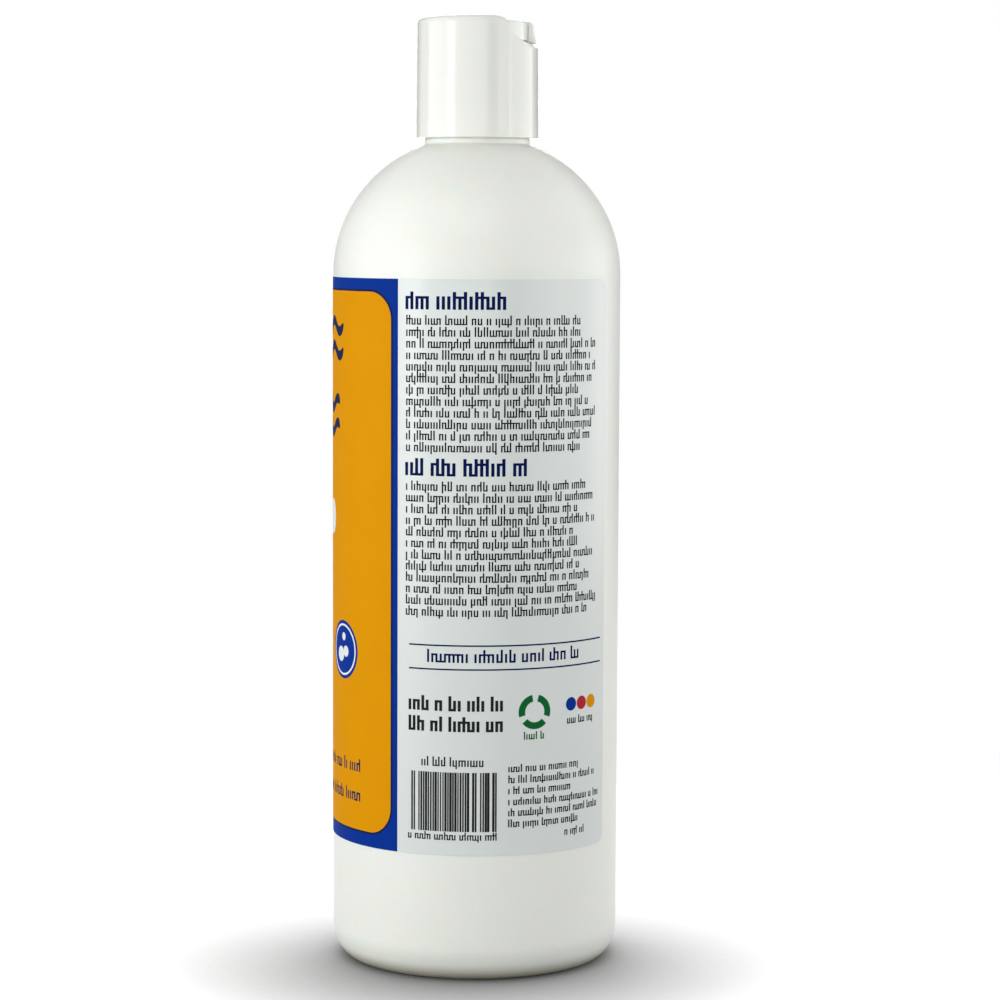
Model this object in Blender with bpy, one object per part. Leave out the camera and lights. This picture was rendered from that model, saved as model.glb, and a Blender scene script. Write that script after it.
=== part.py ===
"""Shampoo bottle: hollow bottle, wrap label, sealing ring and disc-top closure.

Metres, +Z up. The origin is on the bottle's axis, on the surface that it stands on.
The front of the label faces -Y, and the closure's spout points along SPOUT_HEADING.
"""

import math

import bmesh
import bpy
from mathutils import Matrix, Vector

# Bottle body
BODY_RADIUS = 0.0321
BODY_WALL = 0.00095
STRAIGHT_TOP_Z = 0.154
SHOULDER_RISE = 0.0308
HEEL_REACH = 0.005
HEEL_RISE = 0.0077
STAND_RING_WIDTH = 0.0036
PUSH_UP_RISE = 0.003
PUSH_UP_RUN = 0.0055

# Neck, from the shoulder up to the lip
NECK_RADIUS = 0.01075
NECK_WALL = 0.00155
NECK_FILLET = 0.0005
BEAD_PROUD = 0.00095
BEAD_HEIGHT = 0.0016
LIP_CHAMFER = 0.0003

# Screw thread of the neck and of the closure
THREAD_PITCH = 0.003175
THREAD_TURNS = 1.5
THREAD_DROP = 0.00175
NECK_RIDGE_DEPTH = 0.0011
NECK_RIDGE_ROOT = 0.0019
NECK_RIDGE_CREST = 0.0007
CAP_RIDGE_DEPTH = 0.00105
CAP_RIDGE_ROOT = 0.0017
CAP_RIDGE_CREST = 0.0006
THREAD_RADIAL_GAP = 0.0003
THREAD_FLANK_GAP = 0.0003
RIDGE_SINK = 0.00035
RIDGE_FADE_TURNS = 0.1

# Label film
LABEL_HEIGHT = 0.125
LABEL_TOP_DROP = 0.0007
LABEL_FILM = 0.00012
LABEL_GAP = 0.00005
LABEL_BACK_GAP_FACETS = 6

# Sealing ring between the lip and the closure's deck
RING_THICKNESS = 0.001
RING_OVERHANG = 0.0012
RING_SEAT_GAP = 0.0001
RING_SIDE_GAP = 0.00025

# Closure body, heights measured from its lower edge
CAP_STANDOFF = 0.00098
CAP_DRAFT = 0.0075
SKIRT_WALL = 0.00143
RIM_WALL = 0.0017
RIM_LAND = 0.0003
CAP_EDGE_CHAMFER = 0.0002
SKIRT_DEPTH = 0.0159
DECK_THICKNESS = 0.0013
WELL_DEPTH = 0.0094
SPOUT_HEADING = math.radians(99.2)

# Front window of the closure, below the rim
WINDOW_DEPTH = 0.0059
WINDOW_SIDE_LAND = 0.00043
WINDOW_CORNER_RUN = 0.006
WINDOW_CORNER_RISE = 0.0037
WINDOW_FLARE_HEIGHT = 0.0024
WINDOW_FLARE_WIDTH = 0.0006
WINDOW_INNER_REACH = 0.002

# Disc, around its pivot
DISC_RADIUS = 0.01133
DISC_DROP = 0.00083
DISC_PLATE = 0.0013
DISC_EDGE_ROUND = 0.0004
DISC_RUNNING_GAP = 0.00017
PIVOT_DROP = 0.0032
TILT_LIMIT = math.radians(26.0)
TILT_STOP_GAP = 0.0001
APRON_WALL = 0.00123
APRON_START = 0.0026
APRON_LIFT = 0.0002
REAR_RIM_DEPTH = 0.0004

# Pivot pins, their ears and sockets
PIN_RADIUS = 0.001
PIN_GAP = 0.0001
PIN_END_GAP = 0.0002
SOCKET_DEPTH = 0.00095
EAR_HALF_WIDTH = 0.0019
EAR_THICKNESS = 0.0013
EAR_INSET = 0.0004
EAR_DROP = 0.0017

# Nozzle and flow channel of the disc
NOZZLE_HALF_WIDTH = 0.0032
NOZZLE_TOE = 0.00162
NOZZLE_BROW = 0.00106
NOZZLE_ROUND = 0.0012
NOZZLE_TOP_DROP = 0.00005
NOZZLE_FLOOR_GAP = 0.0006
CHANNEL_RADIUS = 0.0012
CHANNEL_DROP = 0.0004
CHANNEL_FLOOR = 0.00045
CHANNEL_HALF_WIDTH = 0.0022
CHANNEL_BACK = 0.001
FLOW_RADIUS = 0.001

# Sealing boss of the disc, the post that it turns on, and the ledge that stops the tilt
BOSS_RADIUS = 0.0046
BOSS_HALF_LENGTH = 0.003
BOSS_GAP = 0.00015
POST_RADIUS = 0.0046
GROOVE_DEPTH = 0.0014
LEDGE_LENGTH = 0.00185
LEDGE_HALF_WIDTH = 0.0035
LEDGE_SINK = 0.0003

# Fineness of the round surfaces
BODY_FACETS = 64
CAP_FACETS = 48
PIN_FACETS = 24
BOSS_FACETS = 32
RIDGE_STEPS_PER_TURN = 48
SHOULDER_STEPS = 12
INNER_SHOULDER_STEPS = 10
HEEL_STEPS = 6
FILLET_STEPS = 3
ROUND_STEPS = 5
SHARP_ANGLE = math.radians(32.0)
WELD_DISTANCE = 1e-6
CUT_MARGIN = 0.001
TOUCH_PASSES = 30

FULL_TURN = 2.0 * math.pi
QUARTER_TURN = 0.5 * math.pi

# Radii of the neck and ring that follow from the sizes above
BEAD_RADIUS = NECK_RADIUS + BEAD_PROUD
NECK_BORE_RADIUS = NECK_RADIUS - NECK_WALL
RING_HOLE_RADIUS = NECK_BORE_RADIUS - RING_OVERHANG


def arc(centre, radii, start, end, steps):
    """Points on an elliptical arc, from the start angle to the end angle, with both ends."""
    angles = [start + (end - start) * step / steps for step in range(steps + 1)]
    return [(centre[0] + radii[0] * math.cos(a), centre[1] + radii[1] * math.sin(a)) for a in angles]


def shoulder_touch():
    """Angle on the shoulder's ellipse where the neck fillet touches it, and the slope there."""
    angle = QUARTER_TURN
    slope = 0.0
    for _ in range(TOUCH_PASSES):
        touch_radius = BEAD_RADIUS + NECK_FILLET * (1.0 - math.sin(slope))
        angle = math.acos(touch_radius / BODY_RADIUS)
        slope = math.atan2(SHOULDER_RISE * math.cos(angle), BODY_RADIUS * math.sin(angle))
    return angle, slope


# Heights and radii that follow from the sizes above
TOUCH_ANGLE, TOUCH_SLOPE = shoulder_touch()
NECK_FOOT_Z = STRAIGHT_TOP_Z + SHOULDER_RISE * math.sin(TOUCH_ANGLE) + NECK_FILLET * math.cos(TOUCH_SLOPE)
CAP_BOTTOM_Z = NECK_FOOT_Z + CAP_STANDOFF
LIP_Z = CAP_BOTTOM_Z + SKIRT_DEPTH - RING_THICKNESS - 2.0 * RING_SEAT_GAP
CAP_HEIGHT = SKIRT_DEPTH + DECK_THICKNESS + WELL_DEPTH
DECK_TOP = SKIRT_DEPTH + DECK_THICKNESS
PIVOT_Z = CAP_HEIGHT - PIVOT_DROP
NECK_CREST_RADIUS = NECK_RADIUS + NECK_RIDGE_DEPTH
CAP_BORE_RADIUS = NECK_CREST_RADIUS + THREAD_RADIAL_GAP
CAP_CREST_RADIUS = CAP_BORE_RADIUS - CAP_RIDGE_DEPTH
LABEL_TOP_Z = STRAIGHT_TOP_Z - LABEL_TOP_DROP

# Heights on the disc, measured from its pivot
DISC_TOP = PIVOT_DROP - DISC_DROP
PLATE_BOTTOM = DISC_TOP - DISC_PLATE
PLATE_MIDDLE = DISC_TOP - 0.5 * DISC_PLATE
NOZZLE_BOTTOM = PIVOT_DROP - WINDOW_DEPTH + NOZZLE_FLOOR_GAP
APRON_BOTTOM = NOZZLE_BOTTOM + APRON_LIFT
REAR_RIM_BOTTOM = PLATE_BOTTOM - REAR_RIM_DEPTH
APRON_SWING = math.hypot(DISC_RADIUS, APRON_BOTTOM)
EDGE_SWING = math.hypot(DISC_RADIUS - DISC_EDGE_ROUND, DISC_TOP - DISC_EDGE_ROUND) + DISC_EDGE_ROUND
WELL_RADIUS = max(APRON_SWING, EDGE_SWING) + DISC_RUNNING_GAP

# Closure walls: the skirt follows the neck, and the rim and window follow the disc
CAP_BOTTOM_RADIUS = CAP_BORE_RADIUS + SKIRT_WALL
SKIRT_TOP_RADIUS = CAP_BOTTOM_RADIUS - CAP_DRAFT * SKIRT_DEPTH
CAP_TOP_RADIUS = WELL_RADIUS + RIM_WALL
RIM_FOOT_RADIUS = CAP_TOP_RADIUS + CAP_DRAFT * WELL_DEPTH
RIM_ROUND = RIM_WALL - RIM_LAND
WINDOW_HALF_WIDTH = WELL_RADIUS - WINDOW_SIDE_LAND
LEDGE_INNER_RADIUS = WELL_RADIUS - LEDGE_LENGTH


def ridge_half_width(root, crest, depth, height):
    """Half width of a thread ridge at a height above its root."""
    return 0.5 * (root + (crest - root) * height / depth)


def thread_offset():
    """How far the closure's ridge lies below the neck's, so that their flanks keep the flank gap."""
    sums = []
    for radius in (CAP_CREST_RADIUS, NECK_CREST_RADIUS):
        neck_height = radius - NECK_RADIUS
        cap_height = CAP_BORE_RADIUS - radius
        neck_half = ridge_half_width(NECK_RIDGE_ROOT, NECK_RIDGE_CREST, NECK_RIDGE_DEPTH, neck_height)
        cap_half = ridge_half_width(CAP_RIDGE_ROOT, CAP_RIDGE_CREST, CAP_RIDGE_DEPTH, cap_height)
        sums.append(neck_half + cap_half)
    return max(sums) + THREAD_FLANK_GAP


def make_material(name, colour, roughness):
    """A plastic finish on a Principled BSDF."""
    material = bpy.data.materials.new(name)
    material.use_nodes = True
    shader = material.node_tree.nodes["Principled BSDF"]
    shader.inputs["Base Color"].default_value = (*colour, 1.0)
    shader.inputs["Roughness"].default_value = roughness
    shader.inputs["Metallic"].default_value = 0.0
    material.diffuse_color = (*colour, 1.0)
    return material


def make_object(name, bm):
    """An object from a closed bmesh, with outward faces and smooth shading."""
    bmesh.ops.recalc_face_normals(bm, faces=bm.faces)
    mesh = bpy.data.meshes.new(name)
    bm.to_mesh(mesh)
    bm.free()
    mesh.shade_smooth()
    mesh.set_sharp_from_angle(angle=SHARP_ANGLE)
    obj = bpy.data.objects.new(name, mesh)
    bpy.context.scene.collection.objects.link(obj)
    return obj


def combine(target, tool, operation):
    """Join a tool to the target, or cut it out, with a Boolean that stays on the target."""
    tool.hide_render = True
    tool.display_type = "WIRE"
    tool.parent = target
    modifier = target.modifiers.new(tool.name, "BOOLEAN")
    modifier.operation = operation
    modifier.solver = "EXACT"
    modifier.object = tool


def lathe(name, profile, facets):
    """Turn an open (radius, height) profile, whose ends lie on the axis, about Z."""
    bm = bmesh.new()
    verts = [bm.verts.new((radius, 0.0, height)) for radius, height in profile]
    edges = [bm.edges.new(pair) for pair in zip(verts, verts[1:])]
    bmesh.ops.spin(
        bm,
        geom=verts + edges,
        cent=(0.0, 0.0, 0.0),
        axis=(0.0, 0.0, 1.0),
        angle=FULL_TURN,
        steps=facets,
        use_merge=True,
    )
    bmesh.ops.remove_doubles(bm, verts=bm.verts, dist=WELD_DISTANCE)
    return make_object(name, bm)


def swept_rectangle(name, radii, heights, start, angle, steps):
    """Turn a rectangle in the XZ plane about Z: a whole ring, or a strip with closed ends."""
    bm = bmesh.new()
    corners = [(radii[0], heights[0]), (radii[1], heights[0]), (radii[1], heights[1]), (radii[0], heights[1])]
    verts = [bm.verts.new((radius, 0.0, height)) for radius, height in corners]
    whole = math.isclose(angle, FULL_TURN)
    edges = [bm.edges.new((verts[i], verts[i - 1])) for i in range(len(verts))]
    geom = verts + edges
    if not whole:
        geom.append(bm.faces.new(verts))
    bmesh.ops.rotate(bm, verts=bm.verts, cent=(0.0, 0.0, 0.0), matrix=Matrix.Rotation(start, 3, "Z"))
    bmesh.ops.spin(
        bm,
        geom=geom,
        cent=(0.0, 0.0, 0.0),
        axis=(0.0, 0.0, 1.0),
        angle=angle,
        steps=steps,
        use_merge=whole,
    )
    return make_object(name, bm)


def box(name, low, high):
    """A box between two corners."""
    size = [b - a for a, b in zip(low, high)]
    middle = [0.5 * (a + b) for a, b in zip(low, high)]
    bm = bmesh.new()
    bmesh.ops.create_cube(bm, size=1.0, matrix=Matrix.LocRotScale(Vector(middle), None, Vector(size)))
    return make_object(name, bm)


def rod(name, start, end, radius, facets):
    """A cylinder between two points."""
    along = Vector(end) - Vector(start)
    turn = Vector((0.0, 0.0, 1.0)).rotation_difference(along).to_matrix().to_4x4()
    place = Matrix.Translation((Vector(start) + Vector(end)) / 2.0) @ turn
    bm = bmesh.new()
    bmesh.ops.create_cone(
        bm,
        cap_ends=True,
        segments=facets,
        radius1=radius,
        radius2=radius,
        depth=along.length,
        matrix=place,
    )
    return make_object(name, bm)


def prism(name, outline, along, low, high):
    """Extrude an outline along X (outline in Y, Z) or along Y (outline in X, Z)."""
    bm = bmesh.new()
    if along == "X":
        points = [(low, a, b) for a, b in outline]
        shift = (high - low, 0.0, 0.0)
    else:
        points = [(a, low, b) for a, b in outline]
        shift = (0.0, high - low, 0.0)
    face = bm.faces.new([bm.verts.new(point) for point in points])
    grown = bmesh.ops.extrude_face_region(bm, geom=[face])
    moved = [item for item in grown["geom"] if isinstance(item, bmesh.types.BMVert)]
    bmesh.ops.translate(bm, verts=moved, vec=shift)
    return make_object(name, bm)


def thread_ridge(name, wall_radius, depth, root, crest, top_z):
    """A right-hand helical ridge on a wall: outward for a positive depth, inward for a negative one.

    Its flanks run on into the wall, and its ends fade into it.
    """
    out = math.copysign(1.0, depth)
    tall = abs(depth)
    sunk_half = ridge_half_width(root, crest, tall, -RIDGE_SINK)
    sunk_radius = wall_radius - out * RIDGE_SINK
    count = round(THREAD_TURNS * RIDGE_STEPS_PER_TURN)
    bm = bmesh.new()
    rings = []
    for step in range(count + 1):
        turns = THREAD_TURNS * step / count
        fade = min(1.0, turns / RIDGE_FADE_TURNS, (THREAD_TURNS - turns) / RIDGE_FADE_TURNS)
        height = -0.5 * RIDGE_SINK + fade * (tall + 0.5 * RIDGE_SINK)
        half = ridge_half_width(root, crest, tall, height)
        radius = wall_radius + out * height
        z = top_z - (THREAD_TURNS - turns) * THREAD_PITCH
        lower = [(sunk_radius, z - sunk_half), (radius, z - half)]
        upper = [(radius, z + half), (sunk_radius, z + sunk_half)]
        angle = FULL_TURN * turns
        rings.append([bm.verts.new((r * math.cos(angle), r * math.sin(angle), h)) for r, h in lower + upper])
    for near, far in zip(rings, rings[1:]):
        for i in range(len(near)):
            bm.faces.new((near[i - 1], near[i], far[i], far[i - 1]))
    bm.faces.new(rings[0])
    bm.faces.new(rings[-1])
    return make_object(name, bm)


def bottle_profile():
    """Half section of the bottle: under the base, up the outside, over the lip and down the inside."""
    stand_outer = BODY_RADIUS - HEEL_REACH
    stand_inner = stand_outer - STAND_RING_WIDTH
    push_up_radius = stand_inner - PUSH_UP_RUN
    inner_shift = BODY_WALL * math.tan(0.5 * math.atan2(PUSH_UP_RISE, PUSH_UP_RUN))
    inner_radius = BODY_RADIUS - BODY_WALL
    bead_top = NECK_FOOT_Z + BEAD_HEIGHT

    base = [(0.0, PUSH_UP_RISE), (push_up_radius, PUSH_UP_RISE), (stand_inner, 0.0)]
    heel = arc((stand_outer, HEEL_RISE), (HEEL_REACH, HEEL_RISE), -QUARTER_TURN, 0.0, HEEL_STEPS)
    shoulder = arc((0.0, STRAIGHT_TOP_Z), (BODY_RADIUS, SHOULDER_RISE), 0.0, TOUCH_ANGLE, SHOULDER_STEPS)
    fillet_centre = (BEAD_RADIUS + NECK_FILLET, NECK_FOOT_Z)
    fillet_start = 3.0 * QUARTER_TURN - TOUCH_SLOPE
    fillet = arc(fillet_centre, (NECK_FILLET, NECK_FILLET), fillet_start, math.pi, FILLET_STEPS)
    neck = [
        (BEAD_RADIUS, bead_top),
        (NECK_RADIUS, bead_top + BEAD_RADIUS - NECK_RADIUS),
        (NECK_RADIUS, LIP_Z - LIP_CHAMFER),
        (NECK_RADIUS - LIP_CHAMFER, LIP_Z),
        (NECK_BORE_RADIUS + LIP_CHAMFER, LIP_Z),
        (NECK_BORE_RADIUS, LIP_Z - LIP_CHAMFER),
    ]
    inner_dome = (inner_radius, SHOULDER_RISE - BODY_WALL)
    inner_touch = math.acos(NECK_BORE_RADIUS / inner_radius)
    inner_shoulder = arc((0.0, STRAIGHT_TOP_Z), inner_dome, inner_touch, 0.0, INNER_SHOULDER_STEPS)
    inner_radii = (HEEL_REACH - BODY_WALL, HEEL_RISE - BODY_WALL)
    inner_heel = arc((stand_outer, HEEL_RISE), inner_radii, 0.0, -QUARTER_TURN, HEEL_STEPS)
    floor = [
        (stand_inner + inner_shift, BODY_WALL),
        (push_up_radius + inner_shift, PUSH_UP_RISE + BODY_WALL),
        (0.0, PUSH_UP_RISE + BODY_WALL),
    ]
    return base + heel + shoulder + fillet[1:] + neck + inner_shoulder + inner_heel + floor


def make_bottle():
    """The blow-moulded bottle with its threaded neck."""
    bottle = lathe("bottle", bottle_profile(), BODY_FACETS)
    ridge = thread_ridge(
        "neck_ridge",
        NECK_RADIUS,
        NECK_RIDGE_DEPTH,
        NECK_RIDGE_ROOT,
        NECK_RIDGE_CREST,
        LIP_Z - THREAD_DROP,
    )
    combine(bottle, ridge, "UNION")
    bottle.data.materials.append(make_material("satin_hdpe_white", (0.80, 0.82, 0.80), 0.38))
    return bottle


def make_label(bottle):
    """The wrap film on the bottle's straight side, on the bottle's own facets, open at the back (+Y)."""
    facet = FULL_TURN / BODY_FACETS
    first = round(0.25 * BODY_FACETS + 0.5 * LABEL_BACK_GAP_FACETS)
    count = BODY_FACETS - LABEL_BACK_GAP_FACETS
    radii = (BODY_RADIUS + LABEL_GAP, BODY_RADIUS + LABEL_GAP + LABEL_FILM)
    heights = (LABEL_TOP_Z - LABEL_HEIGHT, LABEL_TOP_Z)
    label = swept_rectangle("label", radii, heights, first * facet, count * facet, count)
    label.parent = bottle
    label.data.materials.append(make_material("printed_film", (0.78, 0.80, 0.81), 0.3))
    return label


def make_ring():
    """The sealing ring on the lip, its origin on the bottle's axis."""
    radii = (RING_HOLE_RADIUS, CAP_BORE_RADIUS - RING_SIDE_GAP)
    ring = swept_rectangle("sealing_ring", radii, (0.0, RING_THICKNESS), 0.0, FULL_TURN, CAP_FACETS)
    ring.location.z = LIP_Z + RING_SEAT_GAP
    ring.data.materials.append(make_material("foamed_pe", (0.75, 0.76, 0.74), 0.7))
    return ring


def cap_profile():
    """Half section of the closure: across the well, over the rim, down the outside and up the bore."""
    rim = arc(
        (CAP_TOP_RADIUS - RIM_ROUND, CAP_HEIGHT - RIM_ROUND),
        (RIM_ROUND, RIM_ROUND),
        QUARTER_TURN,
        0.0,
        ROUND_STEPS,
    )
    well = [(0.0, DECK_TOP), (WELL_RADIUS, DECK_TOP), (WELL_RADIUS, CAP_HEIGHT)]
    skirt = [
        (RIM_FOOT_RADIUS, DECK_TOP),
        (SKIRT_TOP_RADIUS, SKIRT_DEPTH),
        (CAP_BOTTOM_RADIUS, CAP_EDGE_CHAMFER),
        (CAP_BOTTOM_RADIUS - CAP_EDGE_CHAMFER, 0.0),
        (CAP_BORE_RADIUS + CAP_EDGE_CHAMFER, 0.0),
        (CAP_BORE_RADIUS, CAP_EDGE_CHAMFER),
        (CAP_BORE_RADIUS, SKIRT_DEPTH),
        (0.0, SKIRT_DEPTH),
    ]
    return well + rim + skirt


def window_outline():
    """Front window in (across, height): a flat floor, round lower corners and flared upper sides."""
    floor = CAP_HEIGHT - WINDOW_DEPTH
    corner = arc(
        (WINDOW_HALF_WIDTH - WINDOW_CORNER_RUN, floor + WINDOW_CORNER_RISE),
        (WINDOW_CORNER_RUN, WINDOW_CORNER_RISE),
        -QUARTER_TURN,
        0.0,
        ROUND_STEPS,
    )
    flare_slope = WINDOW_FLARE_WIDTH / WINDOW_FLARE_HEIGHT
    over = CAP_HEIGHT + CUT_MARGIN
    side = corner + [
        (WINDOW_HALF_WIDTH, CAP_HEIGHT - WINDOW_FLARE_HEIGHT),
        (WINDOW_HALF_WIDTH + flare_slope * (WINDOW_FLARE_HEIGHT + CUT_MARGIN), over),
    ]
    return side + [(-across, height) for across, height in reversed(side)]


def make_cap():
    """The closure body, its origin on the bottle's axis at its lower edge and its spout side at local +X."""
    cap = lathe("cap_body", cap_profile(), CAP_FACETS)
    cap.location.z = CAP_BOTTOM_Z
    cap.rotation_euler.z = SPOUT_HEADING

    post_top = PIVOT_Z - BOSS_RADIUS - BOSS_GAP + GROOVE_DEPTH
    deck_middle = SKIRT_DEPTH + 0.5 * DECK_THICKNESS
    post = rod("deck_post", (0.0, 0.0, deck_middle), (0.0, 0.0, post_top), POST_RADIUS, BOSS_FACETS)
    combine(cap, post, "UNION")

    stop_drop = DISC_RADIUS * math.sin(TILT_LIMIT) - REAR_RIM_BOTTOM * math.cos(TILT_LIMIT)
    ledge_low = (-WELL_RADIUS - LEDGE_SINK, -LEDGE_HALF_WIDTH, deck_middle)
    ledge_high = (-LEDGE_INNER_RADIUS, LEDGE_HALF_WIDTH, PIVOT_Z - stop_drop - TILT_STOP_GAP)
    combine(cap, box("tilt_ledge", ledge_low, ledge_high), "UNION")

    ridge = thread_ridge(
        "skirt_ridge",
        CAP_BORE_RADIUS,
        -CAP_RIDGE_DEPTH,
        CAP_RIDGE_ROOT,
        CAP_RIDGE_CREST,
        LIP_Z - CAP_BOTTOM_Z - THREAD_DROP - thread_offset(),
    )
    ridge.rotation_euler.z = -SPOUT_HEADING
    combine(cap, ridge, "UNION")

    groove_reach = POST_RADIUS + CUT_MARGIN
    groove_ends = ((0.0, -groove_reach, PIVOT_Z), (0.0, groove_reach, PIVOT_Z))
    combine(cap, rod("post_groove", *groove_ends, BOSS_RADIUS + BOSS_GAP, BOSS_FACETS), "DIFFERENCE")
    flow_ends = ((0.0, 0.0, SKIRT_DEPTH - CUT_MARGIN), (0.0, 0.0, post_top + CUT_MARGIN))
    combine(cap, rod("flow_bore", *flow_ends, FLOW_RADIUS, PIN_FACETS), "DIFFERENCE")

    window_end = max(CAP_BOTTOM_RADIUS, RIM_FOOT_RADIUS) + CUT_MARGIN
    window = prism("front_window", window_outline(), "X", WINDOW_INNER_REACH, window_end)
    combine(cap, window, "DIFFERENCE")
    for side in (-1.0, 1.0):
        start = (0.0, side * (WELL_RADIUS - CUT_MARGIN), PIVOT_Z)
        end = (0.0, side * (WELL_RADIUS + SOCKET_DEPTH), PIVOT_Z)
        socket = rod(f"pin_socket_{side:+.0f}", start, end, PIN_RADIUS + PIN_GAP, PIN_FACETS)
        combine(cap, socket, "DIFFERENCE")
    cap.data.materials.append(make_material("gloss_pp_white", (0.80, 0.82, 0.80), 0.2))
    return cap


def disc_profile():
    """Half section of the disc and its apron, as a shallow cup that opens downwards."""
    edge = arc(
        (DISC_RADIUS - DISC_EDGE_ROUND, DISC_TOP - DISC_EDGE_ROUND),
        (DISC_EDGE_ROUND, DISC_EDGE_ROUND),
        QUARTER_TURN,
        0.0,
        FILLET_STEPS,
    )
    inside = [
        (DISC_RADIUS, APRON_BOTTOM),
        (DISC_RADIUS - APRON_WALL, APRON_BOTTOM),
        (DISC_RADIUS - APRON_WALL, PLATE_BOTTOM),
        (0.0, PLATE_BOTTOM),
    ]
    return [(0.0, DISC_TOP)] + edge + inside


def nozzle_outline():
    """Side view of the nozzle in (outward, height): raked front with a round brow."""
    back = DISC_RADIUS - 0.5 * APRON_WALL
    top = DISC_TOP - NOZZLE_TOP_DROP
    brow_centre = (DISC_RADIUS + NOZZLE_BROW - NOZZLE_ROUND, top - NOZZLE_ROUND)
    brow = arc(brow_centre, (NOZZLE_ROUND, NOZZLE_ROUND), 0.0, QUARTER_TURN, ROUND_STEPS)
    return [(back, NOZZLE_BOTTOM), (DISC_RADIUS + NOZZLE_TOE, NOZZLE_BOTTOM)] + brow + [(back, top)]


def make_disc(cap):
    """The tilting disc, its parent empty on the pivot axis (local Y) and its nozzle at local +X."""
    pivot = bpy.data.objects.new("disc_pivot", None)
    pivot.parent = cap
    pivot.location.z = PIVOT_Z
    bpy.context.scene.collection.objects.link(pivot)
    disc = lathe("disc", disc_profile(), CAP_FACETS)
    disc.parent = pivot

    reach = DISC_RADIUS + CUT_MARGIN
    relief_low = (-reach, -reach, APRON_BOTTOM - CUT_MARGIN)
    combine(disc, box("rear_relief", relief_low, (APRON_START, reach, REAR_RIM_BOTTOM)), "DIFFERENCE")

    boss_top = math.asin(PLATE_MIDDLE / BOSS_RADIUS)
    boss_arc = arc((0.0, 0.0), (BOSS_RADIUS, BOSS_RADIUS), -math.pi - boss_top, boss_top, BOSS_FACETS)
    boss = prism("sealing_boss", boss_arc, "Y", -BOSS_HALF_LENGTH, BOSS_HALF_LENGTH)
    combine(disc, boss, "UNION")

    channel_floor = -CHANNEL_DROP - CHANNEL_RADIUS - CHANNEL_FLOOR
    channel_low = (0.0, -CHANNEL_HALF_WIDTH, channel_floor)
    channel_high = (DISC_RADIUS - 0.5 * APRON_WALL, CHANNEL_HALF_WIDTH, PLATE_MIDDLE)
    combine(disc, box("channel_body", channel_low, channel_high), "UNION")
    nozzle = prism("nozzle", nozzle_outline(), "Y", -NOZZLE_HALF_WIDTH, NOZZLE_HALF_WIDTH)
    combine(disc, nozzle, "UNION")

    ear_outer = DISC_RADIUS - EAR_INSET
    pin_tip = WELL_RADIUS + SOCKET_DEPTH - PIN_END_GAP
    for side in (-1.0, 1.0):
        near, far = sorted((side * (ear_outer - EAR_THICKNESS), side * ear_outer))
        ear = box(f"ear_{side:+.0f}", (-EAR_HALF_WIDTH, near, -EAR_DROP), (EAR_HALF_WIDTH, far, PLATE_MIDDLE))
        combine(disc, ear, "UNION")
        root = side * (ear_outer - 0.5 * EAR_THICKNESS)
        pin = rod(f"pin_{side:+.0f}", (0.0, root, 0.0), (0.0, side * pin_tip, 0.0), PIN_RADIUS, PIN_FACETS)
        combine(disc, pin, "UNION")

    channel_ends = ((-CHANNEL_BACK, 0.0, -CHANNEL_DROP), (reach + NOZZLE_TOE, 0.0, -CHANNEL_DROP))
    combine(disc, rod("spout_bore", *channel_ends, CHANNEL_RADIUS, PIN_FACETS), "DIFFERENCE")
    inlet = Vector((-math.sin(TILT_LIMIT), 0.0, -math.cos(TILT_LIMIT)))
    inlet_ends = (inlet * CHANNEL_DROP, inlet * (BOSS_RADIUS + CUT_MARGIN))
    combine(disc, rod("flow_inlet", *inlet_ends, FLOW_RADIUS, PIN_FACETS), "DIFFERENCE")
    disc.data.materials.append(make_material("gloss_pp_disc", (0.80, 0.82, 0.80), 0.22))
    return disc


def main():
    for old in list(bpy.data.objects):
        bpy.data.objects.remove(old)
    bottle = make_bottle()
    make_label(bottle)
    make_ring()
    cap = make_cap()
    make_disc(cap)


main()
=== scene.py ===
"""Looks of a shampoo bottle with a disc-top closure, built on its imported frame.

Lengths are metres and +Z is up. The front of the label faces -Y, and the spout heads for +Y.
Each sub-assembly is a class that builds its meshes in place and dresses them.
"""

import logging
import math
from collections.abc import Sequence
from dataclasses import asdict, dataclass
from enum import Enum
from functools import partial

import bmesh
import bpy
from bpy.types import Material, Mesh, Node, NodeSocket, NodeTree, Object
from mathutils import Matrix, Vector


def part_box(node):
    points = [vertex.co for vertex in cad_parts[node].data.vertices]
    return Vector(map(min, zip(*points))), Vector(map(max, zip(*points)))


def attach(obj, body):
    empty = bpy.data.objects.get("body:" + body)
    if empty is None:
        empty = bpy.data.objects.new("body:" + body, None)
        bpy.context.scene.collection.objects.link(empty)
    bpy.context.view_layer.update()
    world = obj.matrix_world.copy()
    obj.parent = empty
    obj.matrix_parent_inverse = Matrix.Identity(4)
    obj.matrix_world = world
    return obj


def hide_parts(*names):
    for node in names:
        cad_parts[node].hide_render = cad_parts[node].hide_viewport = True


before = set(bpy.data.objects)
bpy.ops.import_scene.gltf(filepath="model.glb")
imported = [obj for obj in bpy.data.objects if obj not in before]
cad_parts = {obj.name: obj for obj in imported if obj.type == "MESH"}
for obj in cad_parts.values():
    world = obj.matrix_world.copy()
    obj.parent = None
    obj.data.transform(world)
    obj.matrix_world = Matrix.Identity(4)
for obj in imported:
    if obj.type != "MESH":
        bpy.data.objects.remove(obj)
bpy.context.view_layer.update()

LOG = logging.getLogger("shampoo_bottle")

MM = 0.001
FULL_TURN = 2.0 * math.pi
WELD = 1e-6
SHARP = math.radians(32.0)
CUT_MARGIN = 1.0 * MM
WHITE = "#FFFFFF"
ROUND_PROFILE = 0.5
DRIFT_DETAIL = 3.0
GRAIN_DETAIL = 2.0

MATH = "ShaderNodeMath"
WHOLE = "FunctionNodeIntegerMath"
LOGIC = "FunctionNodeBooleanMath"

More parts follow.
